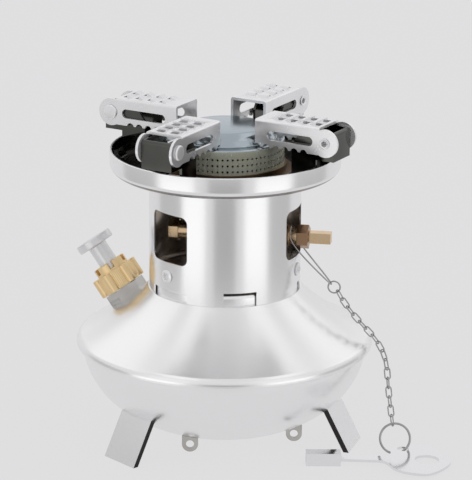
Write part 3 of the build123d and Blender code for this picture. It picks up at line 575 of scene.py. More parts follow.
@dataclass(frozen=True)
class Finish:
    """One metal's look.

    Colour goes to tint in the soft patches, roughness to rough_patch there, and the grain's
    height is in millimetres.
    """

    name: str
    colour: Colour
    tint: Colour
    roughness: float
    rough_patch: float
    grain: Grain = Grain.SHEET
    grain_height: float = 0.003
    fineness: float = 5000.0
    patch_size: float = 60.0
    scratches: float = 0.05
    metallic: float = 1.0

    def material(self) -> bpy.types.Material:
        """Builds the material once and gives it back after that.

        Returns:
            The material, with its grain, handling patches and scratches.
        """
        if self.name in bpy.data.materials:
            return bpy.data.materials[self.name]
        made = bpy.data.materials.new(self.name)
        made.use_nodes = True
        tree = EffectTree(made.node_tree)
        shader = made.node_tree.nodes["Principled BSDF"]
        where = tree.add("ShaderNodeTexCoord").outputs["Object"]
        grain = tree.add("ShaderNodeGroup", node_tree=EFFECTS[self.grain.value])
        grain.inputs["Fineness"].default_value = self.fineness
        handling = tree.add("ShaderNodeGroup", node_tree=EFFECTS["handling"])
        handling.inputs["Patch Size"].default_value = self.patch_size
        for group in (grain, handling):
            tree.feed(where, group.inputs["Vector"])
        colour = tree.add("ShaderNodeMix", data_type="RGBA")
        colour.inputs["A"].default_value = (*self.colour, 1)
        colour.inputs["B"].default_value = (*self.tint, 1)
        tree.feed(handling.outputs["Patches"], colour.inputs["Factor"])
        tree.feed(self.coloured(tree, colour.outputs["Result"], where), shader.inputs["Base Color"])
        rough = tree.add("ShaderNodeMapRange")
        rough.inputs["To Min"].default_value = self.roughness
        rough.inputs["To Max"].default_value = self.rough_patch
        tree.feed(handling.outputs["Patches"], rough.inputs["Value"])
        scratched = tree.math("MULTIPLY", handling.outputs["Scratches"], self.scratches)
        tree.feed(tree.math("ADD", rough.outputs["Result"], scratched), shader.inputs["Roughness"])
        bump = tree.add("ShaderNodeBump")
        bump.inputs["Strength"].default_value = 1.0
        bump.inputs["Distance"].default_value = self.grain_height * MM
        tree.feed(grain.outputs["Height"], bump.inputs["Height"])
        tree.feed(bump.outputs["Normal"], shader.inputs["Normal"])
        shader.inputs["Metallic"].default_value = self.metallic
        return made

    def coloured(self, tree: EffectTree, base: object, where: object) -> object:
        """Gives the colour socket as it is; finishes with more than one colour change it."""
        return base

    def dress(self, piece: bpy.types.Object) -> bpy.types.Object:
        """Puts the finish on a piece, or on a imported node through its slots.

        Args:
            piece: the object.

        Returns:
            The same object.
        """
        if piece.material_slots:
            for slot in piece.material_slots:
                slot.material = self.material()
        else:
            piece.data.materials.append(self.material())
        return piece


@dataclass(frozen=True)
class ZonedFinish(Finish):
    """A finish with another colour inside a radius about the stove's axis, in millimetres."""

    zone_colour: Colour = (0.5, 0.5, 0.5)
    zone_radius: float = 17.3

    def coloured(self, tree: EffectTree, base: object, where: object) -> object:
        """Mixes the zone's colour in where sqrt(x^2 + y^2) is under its radius.

        Args:
            tree: the material's nodes.
            base: the colour outside the zone.
            where: Object coordinates.

        Returns:
            The mixed colour.
        """
        parts = tree.add("ShaderNodeSeparateXYZ")
        tree.feed(where, parts.inputs[0])
        inside = tree.math("LESS_THAN", distance_from_axis(tree, parts), self.zone_radius * MM)
        mix = tree.add("ShaderNodeMix", data_type="RGBA")
        mix.inputs["B"].default_value = (*self.zone_colour, 1)
        tree.feed(inside, mix.inputs["Factor"])
        tree.feed(base, mix.inputs["A"])
        return mix.outputs["Result"]


SATIN = Finish(
    "satin_stainless", (0.93, 0.93, 0.93), (0.90, 0.90, 0.905), 0.25, 0.28,
    Grain.SPUN, grain_height=0.004, fineness=9000.0, patch_size=9.0, scratches=0.0,
)
HOUSING = ZonedFinish(
    "satin_housing", (0.90, 0.90, 0.90), (0.87, 0.87, 0.88), 0.21, 0.25,
    Grain.SPUN, grain_height=0.004, fineness=9000.0, patch_size=9.0, scratches=0.02,
    zone_colour=(0.34, 0.29, 0.24), zone_radius=32.35,
)
TRAY_OUT = Finish(
    "tray_outside", (0.90, 0.90, 0.90), (0.87, 0.87, 0.88), 0.20, 0.24,
    Grain.SPUN, grain_height=0.004, fineness=9000.0, patch_size=9.0, scratches=0.02,
)
# Painted reflection: the tray's inside is the same steel as its outside, darkened to stand in for the dark
# things it mirrors
TRAY_IN_PAINTED_REFLECTION = Finish(
    "tray_inside_painted_reflection", (0.36, 0.35, 0.34), (0.24, 0.23, 0.22), 0.13, 0.20, Grain.SPUN, fineness=7000.0,
)
BRIGHT = Finish(
    "bright_steel", (0.94, 0.94, 0.94), (0.89, 0.89, 0.90), 0.18, 0.24, scratches=0.06, metallic=0.55,
)
# Painted shade: near-black colour on the feet's folded sides, standing in for the reflection of the shaded
# floor under the tank
PAINTED_SHADE_SIDE = Finish(
    "folded_side_painted_shade", (0.03, 0.028, 0.027), (0.05, 0.047, 0.045), 0.22, 0.35,
    grain_height=0.004, patch_size=90.0, scratches=0.08,
)
BOSS_STEEL = Finish(
    "turned_steel", (0.60, 0.59, 0.57), (0.40, 0.38, 0.35), 0.10, 0.18, patch_size=120.0, scratches=0.10,
)
ARM_SHEET = Finish(
    "arm_sheet", (0.93, 0.93, 0.935), (0.84, 0.84, 0.85), 0.20, 0.28,
    grain_height=0.004, fineness=6000.0, patch_size=90.0, scratches=0.08, metallic=0.72,
)
# Painted reflection: the brackets' polished steel gets a near-black colour that stands in for the dark
# surroundings they mirror
BRACKET_PAINTED_REFLECTION = Finish(
    "bracket_painted_reflection", (0.12, 0.12, 0.11), (0.07, 0.07, 0.065), 0.07, 0.14, patch_size=80.0, scratches=0.08,
)
RING = Finish(
    "passivated_ring", (0.84, 0.84, 0.62), (0.68, 0.72, 0.66), 0.22, 0.32,
    Grain.SPUN, grain_height=0.004, patch_size=90.0, metallic=0.6,
)
LID = ZonedFinish(
    "burner_lid", (0.44, 0.49, 0.52), (0.38, 0.44, 0.48), 0.16, 0.22,
    Grain.SPUN, grain_height=0.002, fineness=4000.0, zone_colour=(0.38, 0.45, 0.49), zone_radius=16.6,
)
BURNER_BRASS = Finish(
    "heated_brass", (0.20, 0.13, 0.07), (0.13, 0.09, 0.06), 0.34, 0.48,
    Grain.CAST, grain_height=0.03, fineness=1400.0, patch_size=70.0,
)
VALVE_BRASS = Finish(
    "turned_brass", (0.86, 0.66, 0.42), (0.68, 0.48, 0.29), 0.20, 0.32,
    grain_height=0.006, fineness=4000.0, patch_size=160.0, scratches=0.12,
)
NUT_BRASS = replace(VALVE_BRASS, name="dark_brass", colour=(0.42, 0.27, 0.16), tint=(0.30, 0.18, 0.11))
CAP_BRASS = Finish(
    "cap_brass", (0.84, 0.60, 0.37), (0.66, 0.43, 0.25), 0.18, 0.28,
    grain_height=0.005, fineness=4000.0, patch_size=160.0, scratches=0.10,
)
INNER_BRASS = Finish(
    "drawn_brass", (0.66, 0.48, 0.24), (0.50, 0.36, 0.20), 0.30, 0.42,
    grain_height=0.008, fineness=4000.0, patch_size=90.0, scratches=0.15,
)
PUMP_STEEL = Finish(
    "turned_aluminium", (0.80, 0.80, 0.80), (0.72, 0.72, 0.73), 0.26, 0.34,
    grain_height=0.005, patch_size=120.0, scratches=0.08, metallic=0.8,
)
LEATHER = Finish(
    "oiled_leather", (0.10, 0.06, 0.04), (0.06, 0.04, 0.03), 0.50, 0.65,
    Grain.CAST, grain_height=0.05, fineness=1800.0, patch_size=200.0, scratches=0.0, metallic=0.0,
)
CHAIN_WIRE = Finish(
    "chain_wire", (0.46, 0.45, 0.45), (0.32, 0.31, 0.31), 0.15, 0.26,
    grain_height=0.004, patch_size=300.0, scratches=0.10,
)
KEY_STEEL = Finish(
    "key_steel", (0.97, 0.96, 0.97), (0.94, 0.93, 0.94), 0.18, 0.24, fineness=6000.0, metallic=0.6,
)
FINISH_OF_SLOT = {
    "satin_steel": SATIN,
    "polished_steel": BRIGHT,
    "tray_steel": TRAY_OUT,
    "arm_steel": ARM_SHEET,
    "bracket_steel": BRACKET_PAINTED_REFLECTION,
    "ring_steel": RING,
    "cap_chrome": LID,
    "burner_brass": BURNER_BRASS,
    "valve_brass": VALVE_BRASS,
    "cap_brass": CAP_BRASS,
    "inner_brass": INNER_BRASS,
    "pump_steel": PUMP_STEEL,
    "packing": LEATHER,
    "chain_steel": CHAIN_WIRE,
    "key_steel": KEY_STEEL,
}


# ---------------------------------------------------------------- tank
@dataclass
class Tank:
    """Saucer-shaped tank: a conical upper shell and a shallow bowl, joined by a folded edge."""

    turns: int = 240
    radius: float = 65.0
    wall: float = 0.9
    seam: tuple[float, float] = (62.2, 42.0)
    seam_land: float = 1.6
    lip: float = 0.7
    lip_height: float = 1.0
    lip_bulge: float = 0.25
    edge_ease: float = 0.08
    shoulder: tuple[float, float] = (62.6, 46.7)
    shoulder_bulge: float = 0.7
    seat: tuple[float, float] = (33.4, 68.0)
    slope_bulge: float = -1.75
    deck_z: float = 73.4
    deck_corner: float = 2.6
    deck_bulge: float = 0.7
    seat_wall: float = 1.1
    shoulder_wall: float = 0.4
    stem_r: float = 6.0
    ledge_r: float = 31.8
    bowl_turn: tuple[float, float] = (49.7, 17.4)
    bowl_side_z: float = 40.0
    bowl_flat: tuple[float, float] = (17.3, 4.4)
    side_bulge: float = 2.4
    base_bulge: float = 2.85
    turn_wall: float = 0.5
    upper_round: float = 0.3
    lower_round: float = 0.2
    foot_round: float = 0.25
    # share of a face's normal running round the stove above which the painted shade colour goes on
    painted_shade_share: float = 0.8
    feet: tuple[tuple[str, float], ...] = (("left", -138.0), ("right", -18.0), ("rear", 102.0))

    def upper_profile(self) -> Array:
        """Closed profile of the upper shell, inside wall included.

        Returns:
            Its (r, z) points.
        """
        edge_r, edge_z = self.radius - self.edge_ease, self.seam[1] + self.lip_height
        inner = self.ledge_r - self.wall
        return outline(
            (self.seam[0] - self.seam_land, self.seam[1]),
            (edge_r - self.lip, self.seam[1]),
            (edge_r, edge_z, self.lip_bulge),
            (*self.shoulder, self.shoulder_bulge),
            (*self.seat, self.slope_bulge),
            (self.ledge_r, self.seat[1]),
            (self.ledge_r, self.deck_z - self.deck_corner),
            (self.ledge_r - self.deck_corner, self.deck_z, self.deck_bulge),
            (self.stem_r, self.deck_z),
            (self.stem_r, self.deck_z - self.wall),
            (inner - self.deck_corner, self.deck_z - self.wall),
            (inner, self.deck_z - self.wall - self.deck_corner),
            (inner, self.seat[1] - self.wall),
            (self.seat[0], self.seat[1] - self.seat_wall * self.wall),
            (self.shoulder[0] - self.shoulder_wall, self.shoulder[1] - self.wall, -self.slope_bulge),
            (self.radius - self.wall, edge_z, -self.shoulder_bulge),
            (self.seam[0] - self.seam_land, edge_z),
            arc_points=24,
        )

    def lower_profile(self) -> Array:
        """Closed profile of the bowl.

        Returns:
            Its (r, z) points.
        """
        return outline(
            (0, self.bowl_flat[1]),
            self.bowl_flat,
            (*self.bowl_turn, self.base_bulge),
            (self.seam[0], self.bowl_side_z, self.side_bulge),
            self.seam,
            (self.seam[0] - self.wall, self.seam[1]),
            (self.seam[0] - self.wall, self.bowl_side_z),
            (self.bowl_turn[0] - self.turn_wall, self.bowl_turn[1] + self.wall, -self.side_bulge),
            (self.bowl_flat[0], self.bowl_flat[1] + self.wall, -self.base_bulge),
            (0, self.bowl_flat[1] + self.wall),
            arc_points=24,
        )

    def build(self) -> list[bpy.types.Object]:
        """Makes and dresses both shells, the eyelets and the three feet.

        Returns:
            The tank's pieces.
        """
        upper = finished_piece("tank_upper_shell", spun(self.upper_profile(), self.turns))
        lower = finished_piece("tank_lower_shell", spun(self.lower_profile(), self.turns))
        upper = with_rounded_edges(upper, self.upper_round)
        lower = with_rounded_edges(lower, self.lower_round)
        made = [SATIN.dress(stands_for(upper, "tank_upper")), SATIN.dress(stands_for(lower, "tank_lower"))]
        made += [self.foot(side, azimuth) for side, azimuth in self.feet]
        return made + [BOSS_STEEL.dress(refined_node("base_eyelets", self.foot_round))]

    def foot(self, side: str, azimuth: float) -> bpy.types.Object:
        """Foot with bright faces and folded sides painted near-black, a painted reflection of the shaded
        floor under the tank: a side's normal runs round the stove.

        Args:
            side: the end of the node's name.
            azimuth: where the foot stands.

        Returns:
            The dressed foot.
        """
        piece = refined_node(f"foot_{side}", self.foot_round)
        _, around, _ = radial_axes(azimuth)
        # faces whose normal runs round the stove get the painted shade colour
        folded = np.abs(face_vectors(piece, "normal") @ around) > self.painted_shade_share
        with_second_finish(piece, BRIGHT, PAINTED_SHADE_SIDE, folded)
        return piece


# ---------------------------------------------------------------- housing and tray
@dataclass
class HousingScrew:
    """Round-headed screw with a six-lobed recess, seen from outside."""

    head_r: float = 2.95
    head_height: float = 1.15
    dome_drop: float = 0.55
    recess_r: float = 1.35
    recess_lobe: float = 0.3
    recess_lobes: int = 6
    recess_depth: float = 0.85
    recess_slope: float = 0.18
    shank_r: float = 1.4
    shank_length: float = 4.0
    rings: int = 26
    turns: int = 72
    seat: float = 33.02
    z: float = 78.2

    def surface(self, azimuth: float) -> Surface:
        """Head as height over polar coordinates: a dome less a smooth step inside the recess.

        Args:
            azimuth: where on the housing it stands.

        Returns:
            The closed screw.
        """
        turn = np.linspace(0, 2 * np.pi, self.turns, False)
        radius, angle = np.meshgrid(np.linspace(0, self.head_r, self.rings), turn, indexing="ij")
        dome = self.head_height * (1 - self.dome_drop * (radius / self.head_r) ** 2)
        edge = self.recess_r + self.recess_lobe * np.cos(self.recess_lobes * angle)
        step = np.clip((edge - radius) / self.recess_slope + 0.5, 0, 1)
        height = dome - self.recess_depth * step
        points = np.stack([radius * np.cos(angle), radius * np.sin(angle), height], -1)
        end = -self.shank_length
        foot = outline((self.head_r, 0.0), (self.shank_r, 0.0), (self.shank_r, end), (0.0, end))
        shank = np.stack([foot[:, :1] * np.cos(turn), foot[:, :1] * np.sin(turn), foot[:, 1:] + 0 * turn], -1)
        grid = np.concatenate([points, shank])
        local = Surface(grid.reshape(-1, 3), grid_quads(len(grid), self.turns, False, True))
        out, around, up = radial_axes(azimuth)
        return local.placed(out * self.seat + up * self.z, around, up, out)


@dataclass
class Body:
    """Sleeve with its windows and screws, and the tray on it."""

    tray_r: float = 50.0
    tray_wall: float = 1.0
    tray_z: float = 119.7
    rim_z: float = 129.5
    corner: float = 4.0
    hole_r: float = 26.9
    turns: int = 240
    inside_share: float = 0.6
    rim_slack: float = 0.01
    sleeve_round: float = 0.2
    tray_round: float = 0.3
    screw_sharp_angle: float = 50.0
    azimuths: tuple[float, ...] = (-138.0, -18.0, 102.0)

    def tray(self) -> bpy.types.Object:
        """Tray as a turned sheet, satin outside, with the inside mirror's colour darkened as a painted
        reflection of dark surroundings.

        Returns:
            The dressed tray.
        """
        bend = self.corner * (1 - math.cos(math.radians(45)))
        inner = self.corner - self.tray_wall
        floor = self.tray_z + self.tray_wall
        profile = outline(
            (self.hole_r, self.tray_z),
            (self.tray_r - self.corner, self.tray_z),
            (self.tray_r, self.tray_z + self.corner, bend),
            (self.tray_r, self.rim_z),
            (self.tray_r - self.tray_wall, self.rim_z),
            (self.tray_r - self.tray_wall, floor + inner),
            (self.tray_r - self.tray_wall - inner, floor, -bend * inner / self.corner),
            (self.hole_r, floor),
        )
        piece = finished_piece("tray_pan", spun(profile, self.turns))
        x, y, z = face_vectors(piece, "center").T / MM
        past_wall = self.inside_share * self.tray_wall
        inside = (np.hypot(x, y) < self.tray_r - past_wall) & (z > self.tray_z + past_wall)
        under_rim = z <= self.rim_z - self.rim_slack
        # the inside faces get the darkened colour of the painted reflection
        with_second_finish(piece, TRAY_OUT, TRAY_IN_PAINTED_REFLECTION, inside & under_rim)
        return stands_for(with_rounded_edges(piece, self.tray_round), "drip_tray")

    def build(self) -> list[bpy.types.Object]:
        """Makes and dresses the sleeve, its screws and the tray.

        Returns:
            The sleeve, the screws and the tray.
        """
        screws = Surface.joined([HousingScrew().surface(azimuth) for azimuth in self.azimuths])
        heads = finished_piece("housing_screw_heads", screws, self.screw_sharp_angle)
        heads = BRIGHT.dress(stands_for(heads, "housing_screws"))
        return [HOUSING.dress(refined_node("burner_housing", self.sleeve_round)), heads, self.tray()]


# ---------------------------------------------------------------- burner
COMPASS = np.arange(8) * np.pi / 4


@dataclass
class FlameRing:
    """Perforated ring: cells of a round hole in a square patch, wrapped on a cylinder."""

    radius: float = 25.5
    wall: float = 0.9
    low_z: float = 124.0
    high_z: float = 134.2
    rows: int = 3
    row_pitch: float = 2.6
    first_row_z: float = 125.5
    holes: int = 74
    hole_r: float = 0.5

    def cells(self, radius: float) -> tuple[Array, Array]:
        """Border and hole points of every cell at one radius.

        Each is an array over cells, then eight points: the border goes round the square
        (u, v) of half a pitch, and the hole is the circle at the same eight directions.

        Args:
            radius: of the skin that they lie on.

        Returns:
            Border points and hole points.
        """
        across, along = np.cos(COMPASS), np.sin(COMPASS)
        square = np.sign(np.round(np.stack([across, along], -1), 6))
        half = np.array([np.pi / self.holes, self.row_pitch / 2])
        circle = np.stack([across * self.hole_r / self.radius, along * self.hole_r], -1)
        column, row = np.meshgrid(np.arange(self.holes), np.arange(self.rows), indexing="ij")
        centre = np.stack([column * 2 * np.pi / self.holes, self.first_row_z + row * self.row_pitch], -1)
        centre = centre.reshape(-1, 1, 2)
        return self.wrapped(centre + square * half, radius), self.wrapped(centre + circle, radius)

    @staticmethod
    def wrapped(flat: Array, radius: float) -> Array:
        """Points (angle, z) laid on a cylinder: x = r cos a, y = r sin a."""
        angle, height = flat[..., 0], flat[..., 1]
        return np.stack([radius * np.cos(angle), radius * np.sin(angle), height], -1)

    def surface(self) -> Surface:
        """Both skins, the holes' walls and the plain bands above and below.

        Returns:
            The closed ring.
        """
        inner_r = self.radius - self.wall
        outer_border, outer_hole = self.cells(self.radius)
        inner_border, inner_hole = self.cells(inner_r)
        parts = []
        quads = grid_quads(2, len(COMPASS), False, True)
        pairs = ((outer_border, outer_hole), (outer_hole, inner_hole), (inner_hole, inner_border))
        for first, second in pairs:
            loops = np.stack([first, second], 1)
            start = np.arange(len(loops))[:, None, None] * 2 * len(COMPASS)
            parts.append(Surface(loops.reshape(-1, 3), (start + quads).reshape(-1, 4)))
        low = self.first_row_z - self.row_pitch / 2
        high = low + self.rows * self.row_pitch
        turn = np.arange(2 * self.holes) * np.pi / self.holes
        for edge, end in ((high, self.high_z), (low, self.low_z)):
            rows = [(self.radius, edge), (self.radius, end), (inner_r, end), (inner_r, edge)]
            band = np.stack([self.wrapped(np.stack([turn, 0 * turn + z], -1), r) for r, z in rows])
            parts.append(Surface(band.reshape(-1, 3), grid_quads(4, len(turn), False, True)))
        return Surface.joined(parts)


@dataclass
class Burner:
    """Cast bowl, perforated ring and pressed lid."""

    turns: int = 144
    bowl_r: float = 26.6
    bowl_bulge: float = 2.2
    bore_r: float = 4.0
    throat_r: float = 23.4
    flange_r: float = 29.5
    flange_height: float = 0.9
    flange_bulge: float = 0.15
    flange_under: float = 0.3
    flange_over: float = 0.4
    hub: tuple[float, float] = (9.0, 104.0)
    hub_height: float = 1.8
    hub_floor: float = 3.0
    side_z: float = 119.0
    tray_floor: float = 120.7
    rim_z: float = 124.0
    wall: float = 1.2
    lid_r: float = 25.5
    lid_z: float = 134.2
    lid_wall: float = 1.0
    lid_fit: float = 0.95
    lid_round: float = 0.6
    lid_bulge: float = 0.18
    lid_sharp_angle: float = 50.0
    ring_sharp_angle: float = 40.0
    step: tuple[float, float] = (20.6, 135.6)
    step_bulge: float = -0.35
    step_foot: tuple[float, float] = (1.6, -0.4)
    step_under: tuple[float, float] = (-1.2, -0.6)
    disc_under: float = 0.5
    spigot_corner: float = 0.4
    disc_r: float = 15.6
    disc_bulge: float = 1.05
    top_z: float = 140.0

    def bowl(self) -> Surface:
        """Bowl from the hub to the rim, with the flange that rests on the tray.

        Returns:
            The closed bowl.
        """
        hub_r, hub_z = self.hub
        flange_top = self.tray_floor + self.flange_height
        profile = outline(
            (self.bore_r, hub_z),
            (hub_r, hub_z),
            (hub_r, hub_z + self.hub_height),
            (self.bowl_r, self.side_z, self.bowl_bulge),
            (self.bowl_r, self.tray_floor),
            (self.flange_r - self.flange_under, self.tray_floor),
            (self.flange_r, self.tray_floor + self.flange_height / 2, self.flange_bulge),
            (self.flange_r - self.flange_over, flange_top, self.flange_bulge),
            (self.bowl_r, flange_top),
            (self.bowl_r, self.rim_z),
            (self.throat_r, self.rim_z),
            (self.throat_r, self.rim_z - self.wall),
            (self.bowl_r - self.wall, self.side_z),
            (hub_r, hub_z + self.hub_floor, -self.bowl_bulge),
            (self.bore_r, hub_z + self.hub_floor),
        )
        return spun(profile, self.turns)

    def lid(self) -> Surface:
        """Lid: rounded edge, shallow step, rounded shoulder and a flat disc.

        Returns:
            The closed lid.
        """
        inner_r = self.lid_r - self.lid_fit
        step_r, step_z = self.step
        under = self.lid_z - self.lid_wall
        profile = outline(
            (0, self.top_z - self.lid_wall),
            (self.disc_r - self.disc_under, self.top_z - self.lid_wall),
            (step_r + self.step_under[0], step_z + self.step_under[1]),
            (inner_r - self.lid_wall, self.lid_z - self.spigot_corner),
            (inner_r - self.lid_wall, under),
            (inner_r, under),
            (inner_r, self.lid_z),
            (self.lid_r, self.lid_z),
            (self.lid_r - self.lid_round, self.lid_z + self.lid_round, self.lid_bulge),
            (step_r + self.step_foot[0], step_z + self.step_foot[1]),
            (step_r, step_z, self.step_bulge),
            (self.disc_r, self.top_z, self.disc_bulge),
            (0, self.top_z),
        )
        return spun(profile, self.turns)

    def build(self) -> list[bpy.types.Object]:
        """Makes and dresses the three burner pieces.

        Returns:
            The bowl, the ring and the lid.
        """
        bowl = finished_piece("burner_casting", self.bowl())
        ring = finished_piece("perforated_ring", FlameRing().surface(), self.ring_sharp_angle)
        lid = finished_piece("burner_lid_pressing", self.lid(), self.lid_sharp_angle)
        return [
            BURNER_BRASS.dress(stands_for(bowl, "burner_bowl")),
            RING.dress(stands_for(ring, "flame_ring")),
            LID.dress(stands_for(lid, "burner_cap")),
        ]


# ---------------------------------------------------------------- valve
@dataclass
class Valve:
    """Stem, cross barrel, plug, gland nut and square spindle."""

    edge: float = 0.2

    def build(self) -> list[bpy.types.Object]:
        """Refines and dresses the turned brass parts.

        Returns:
            The valve's pieces.
        """
        nodes = ("vaporizer_stem", "barrel_plug", "valve_spindle", "jet_nipple")
        made = [VALVE_BRASS.dress(refined_node(node, self.edge)) for node in nodes]
        return made + [NUT_BRASS.dress(refined_node("gland_nut", self.edge))]


# ---------------------------------------------------------------- filler and pump
@dataclass
class Filler:
    """Hexagonal boss, lobed cap with a notched crown, and the pump's rod and knob."""

    azimuth: float = 160.0
    seat_r: float = 45.0
    seat_z: float = 57.6
    tilt: float = 36.0
    skirt_r: float = 9.2
    skirt_low: float = 4.9
    skirt_high: float = 13.4
    roof: float = 12.1
    bore_r: float = 8.05
    skirt_round: float = 0.3
    plain_band: float = 1.2
    knurl_band: float = 1.5
    lobes: int = 6
    lobe_r: float = 2.3
    lobe_pitch_r: float = 8.5
    crown_r: float = 7.6
    crown_high: float = 17.3
    crown_round: float = 0.25
    notch_depth: float = 2.8
    notch_width: float = 2.4
    rod_r: float = 4.25
    rod_clearance: float = 0.05
    knurls: int = 72
    knurl_depth: float = 0.16
    knurl_stand: float = 0.1
    cap_turns: int = 720
    cap_sharp_angle: float = 28.0
    knob_r: float = 8.5
    knob_low: float = 26.5
    knob_height: float = 3.8
    knob_ease: tuple[float, float] = (0.1, 0.05)
    knob_round: tuple[float, float] = (0.7, 0.18)
    neck_round: tuple[float, float] = (0.5, -0.15)
    knob_edge: tuple[float, float] = (0.6, 0.65)
    dish_from: float = 1.6
    dish_to: float = 2.0
    dish_depth: float = 0.15
    plunger_turns: int = 96
    plunger_sharp_angle: float = 30.0
    rod_low: float = -27.0
    boss_round: float = 0.25

    def axes(self) -> tuple[Array, Array, Array, Array]:
        """Origin and directions of the tilted filler.

        Returns:
            The origin, the X, Y and Z directions.
        """
        out, around, up = radial_axes(self.azimuth)
        tilt = math.radians(self.tilt)
        along = out * math.sin(tilt) + up * math.cos(tilt)
        return out * self.seat_r + up * self.seat_z, around, np.cross(along, around), along

    def cap(self) -> Surface:
        """Cap as rings (r, z) over the angle a.

        The skirt's radius is the larger of the plain skirt with its knurl and the lobe's
        p cos d + sqrt(q^2 - (p sin d)^2), d being the angle to the nearest lobe. The crown's
        height drops in the notches, where the distance from a notch's middle line is small.

        Returns:
            The closed cap, in the filler's own frame.
        """
        angle = np.linspace(0, 2 * np.pi, self.cap_turns, endpoint=False)
        pitch = 2 * np.pi / self.lobes
        offset = (angle + pitch / 2) % pitch - pitch / 2
        reach = self.lobe_r**2 - (self.lobe_pitch_r * np.sin(offset)) ** 2
        lobe = self.lobe_pitch_r * np.cos(offset) + np.sqrt(np.maximum(reach, 0))
        lobe = np.where(reach > 0, lobe, 0)
        knurl = self.skirt_r - self.knurl_depth * (0.5 + 0.5 * np.cos(self.knurls * angle))
        knurled = np.maximum(knurl, lobe)
        plain = np.maximum(self.skirt_r - self.knurl_stand, lobe)
        across = self.crown_r * np.abs(np.sin((angle + pitch) % pitch - pitch / 2))
        top = np.where(across < self.notch_width / 2, self.crown_high - self.notch_depth, self.crown_high)
        bore = self.rod_r + self.rod_clearance
        rings = (
            (self.bore_r, self.skirt_low),
            (plain - self.skirt_round, self.skirt_low),
            (plain, self.skirt_low + self.skirt_round),
            (plain, self.skirt_low + self.plain_band),
            (knurled, self.skirt_low + self.knurl_band),
            (knurled, self.skirt_high - self.knurl_band),
            (plain, self.skirt_high - self.plain_band),
            (plain, self.skirt_high - self.skirt_round),
            (plain - self.skirt_round, self.skirt_high),
            (self.crown_r, self.skirt_high),
            (self.crown_r, top - self.crown_round),
            (self.crown_r - self.crown_round, top),
            (bore, top),
            (bore, self.roof),
            (self.bore_r, self.roof),
        )
        radius = np.stack([ring[0] + 0 * angle for ring in rings])
        height = np.stack([ring[1] + 0 * angle for ring in rings])
        points = np.stack([radius * np.cos(angle), radius * np.sin(angle), height], -1)
        return Surface(points.reshape(-1, 3), grid_quads(len(rings), len(angle), True, True))

    def plunger(self) -> Surface:
        """Rod and knob, with a shallow turned dish in the knob's face.

        Returns:
            The closed rod and knob, in the filler's own frame.
        """
        top = self.knob_low + self.knob_height
        ease_r, ease_z = self.knob_ease
        inset, bulge = self.knob_round
        neck, neck_bulge = self.neck_round
        low_edge, high_edge = self.knob_edge
        profile = outline(
            (0, self.rod_low),
            (self.rod_r, self.rod_low),
            (self.rod_r, self.knob_low - neck),
            (self.rod_r + neck, self.knob_low, neck_bulge),
            (self.knob_r - inset, self.knob_low),
            (self.knob_r - ease_r, self.knob_low + low_edge, bulge),
            (self.knob_r - ease_r, top - high_edge),
            (self.knob_r - inset, top - ease_z, bulge),
            (self.knob_r - self.dish_from, top - ease_z),
            (self.knob_r - self.dish_to, top - self.dish_depth),
            (0, top - self.dish_depth),
            arc_points=6,
        )
        return spun(profile, self.plunger_turns)

    def build(self) -> list[bpy.types.Object]:
        """Makes and dresses the boss, the cap and the pump.

        Returns:
            The boss, the cap and the pump.
        """
        cap, plunger = (part.placed(*self.axes()) for part in (self.cap(), self.plunger()))
        cap = finished_piece("filler_cap_knurled", cap, self.cap_sharp_angle)
        plunger = finished_piece("pump_rod_and_knob", plunger, self.plunger_sharp_angle)
        return [
            BOSS_STEEL.dress(refined_node("filler_base", self.boss_round)),
            CAP_BRASS.dress(stands_for(cap, "filler_cap")),
            PUMP_STEEL.dress(stands_for(plunger, "pump_plunger")),
        ]


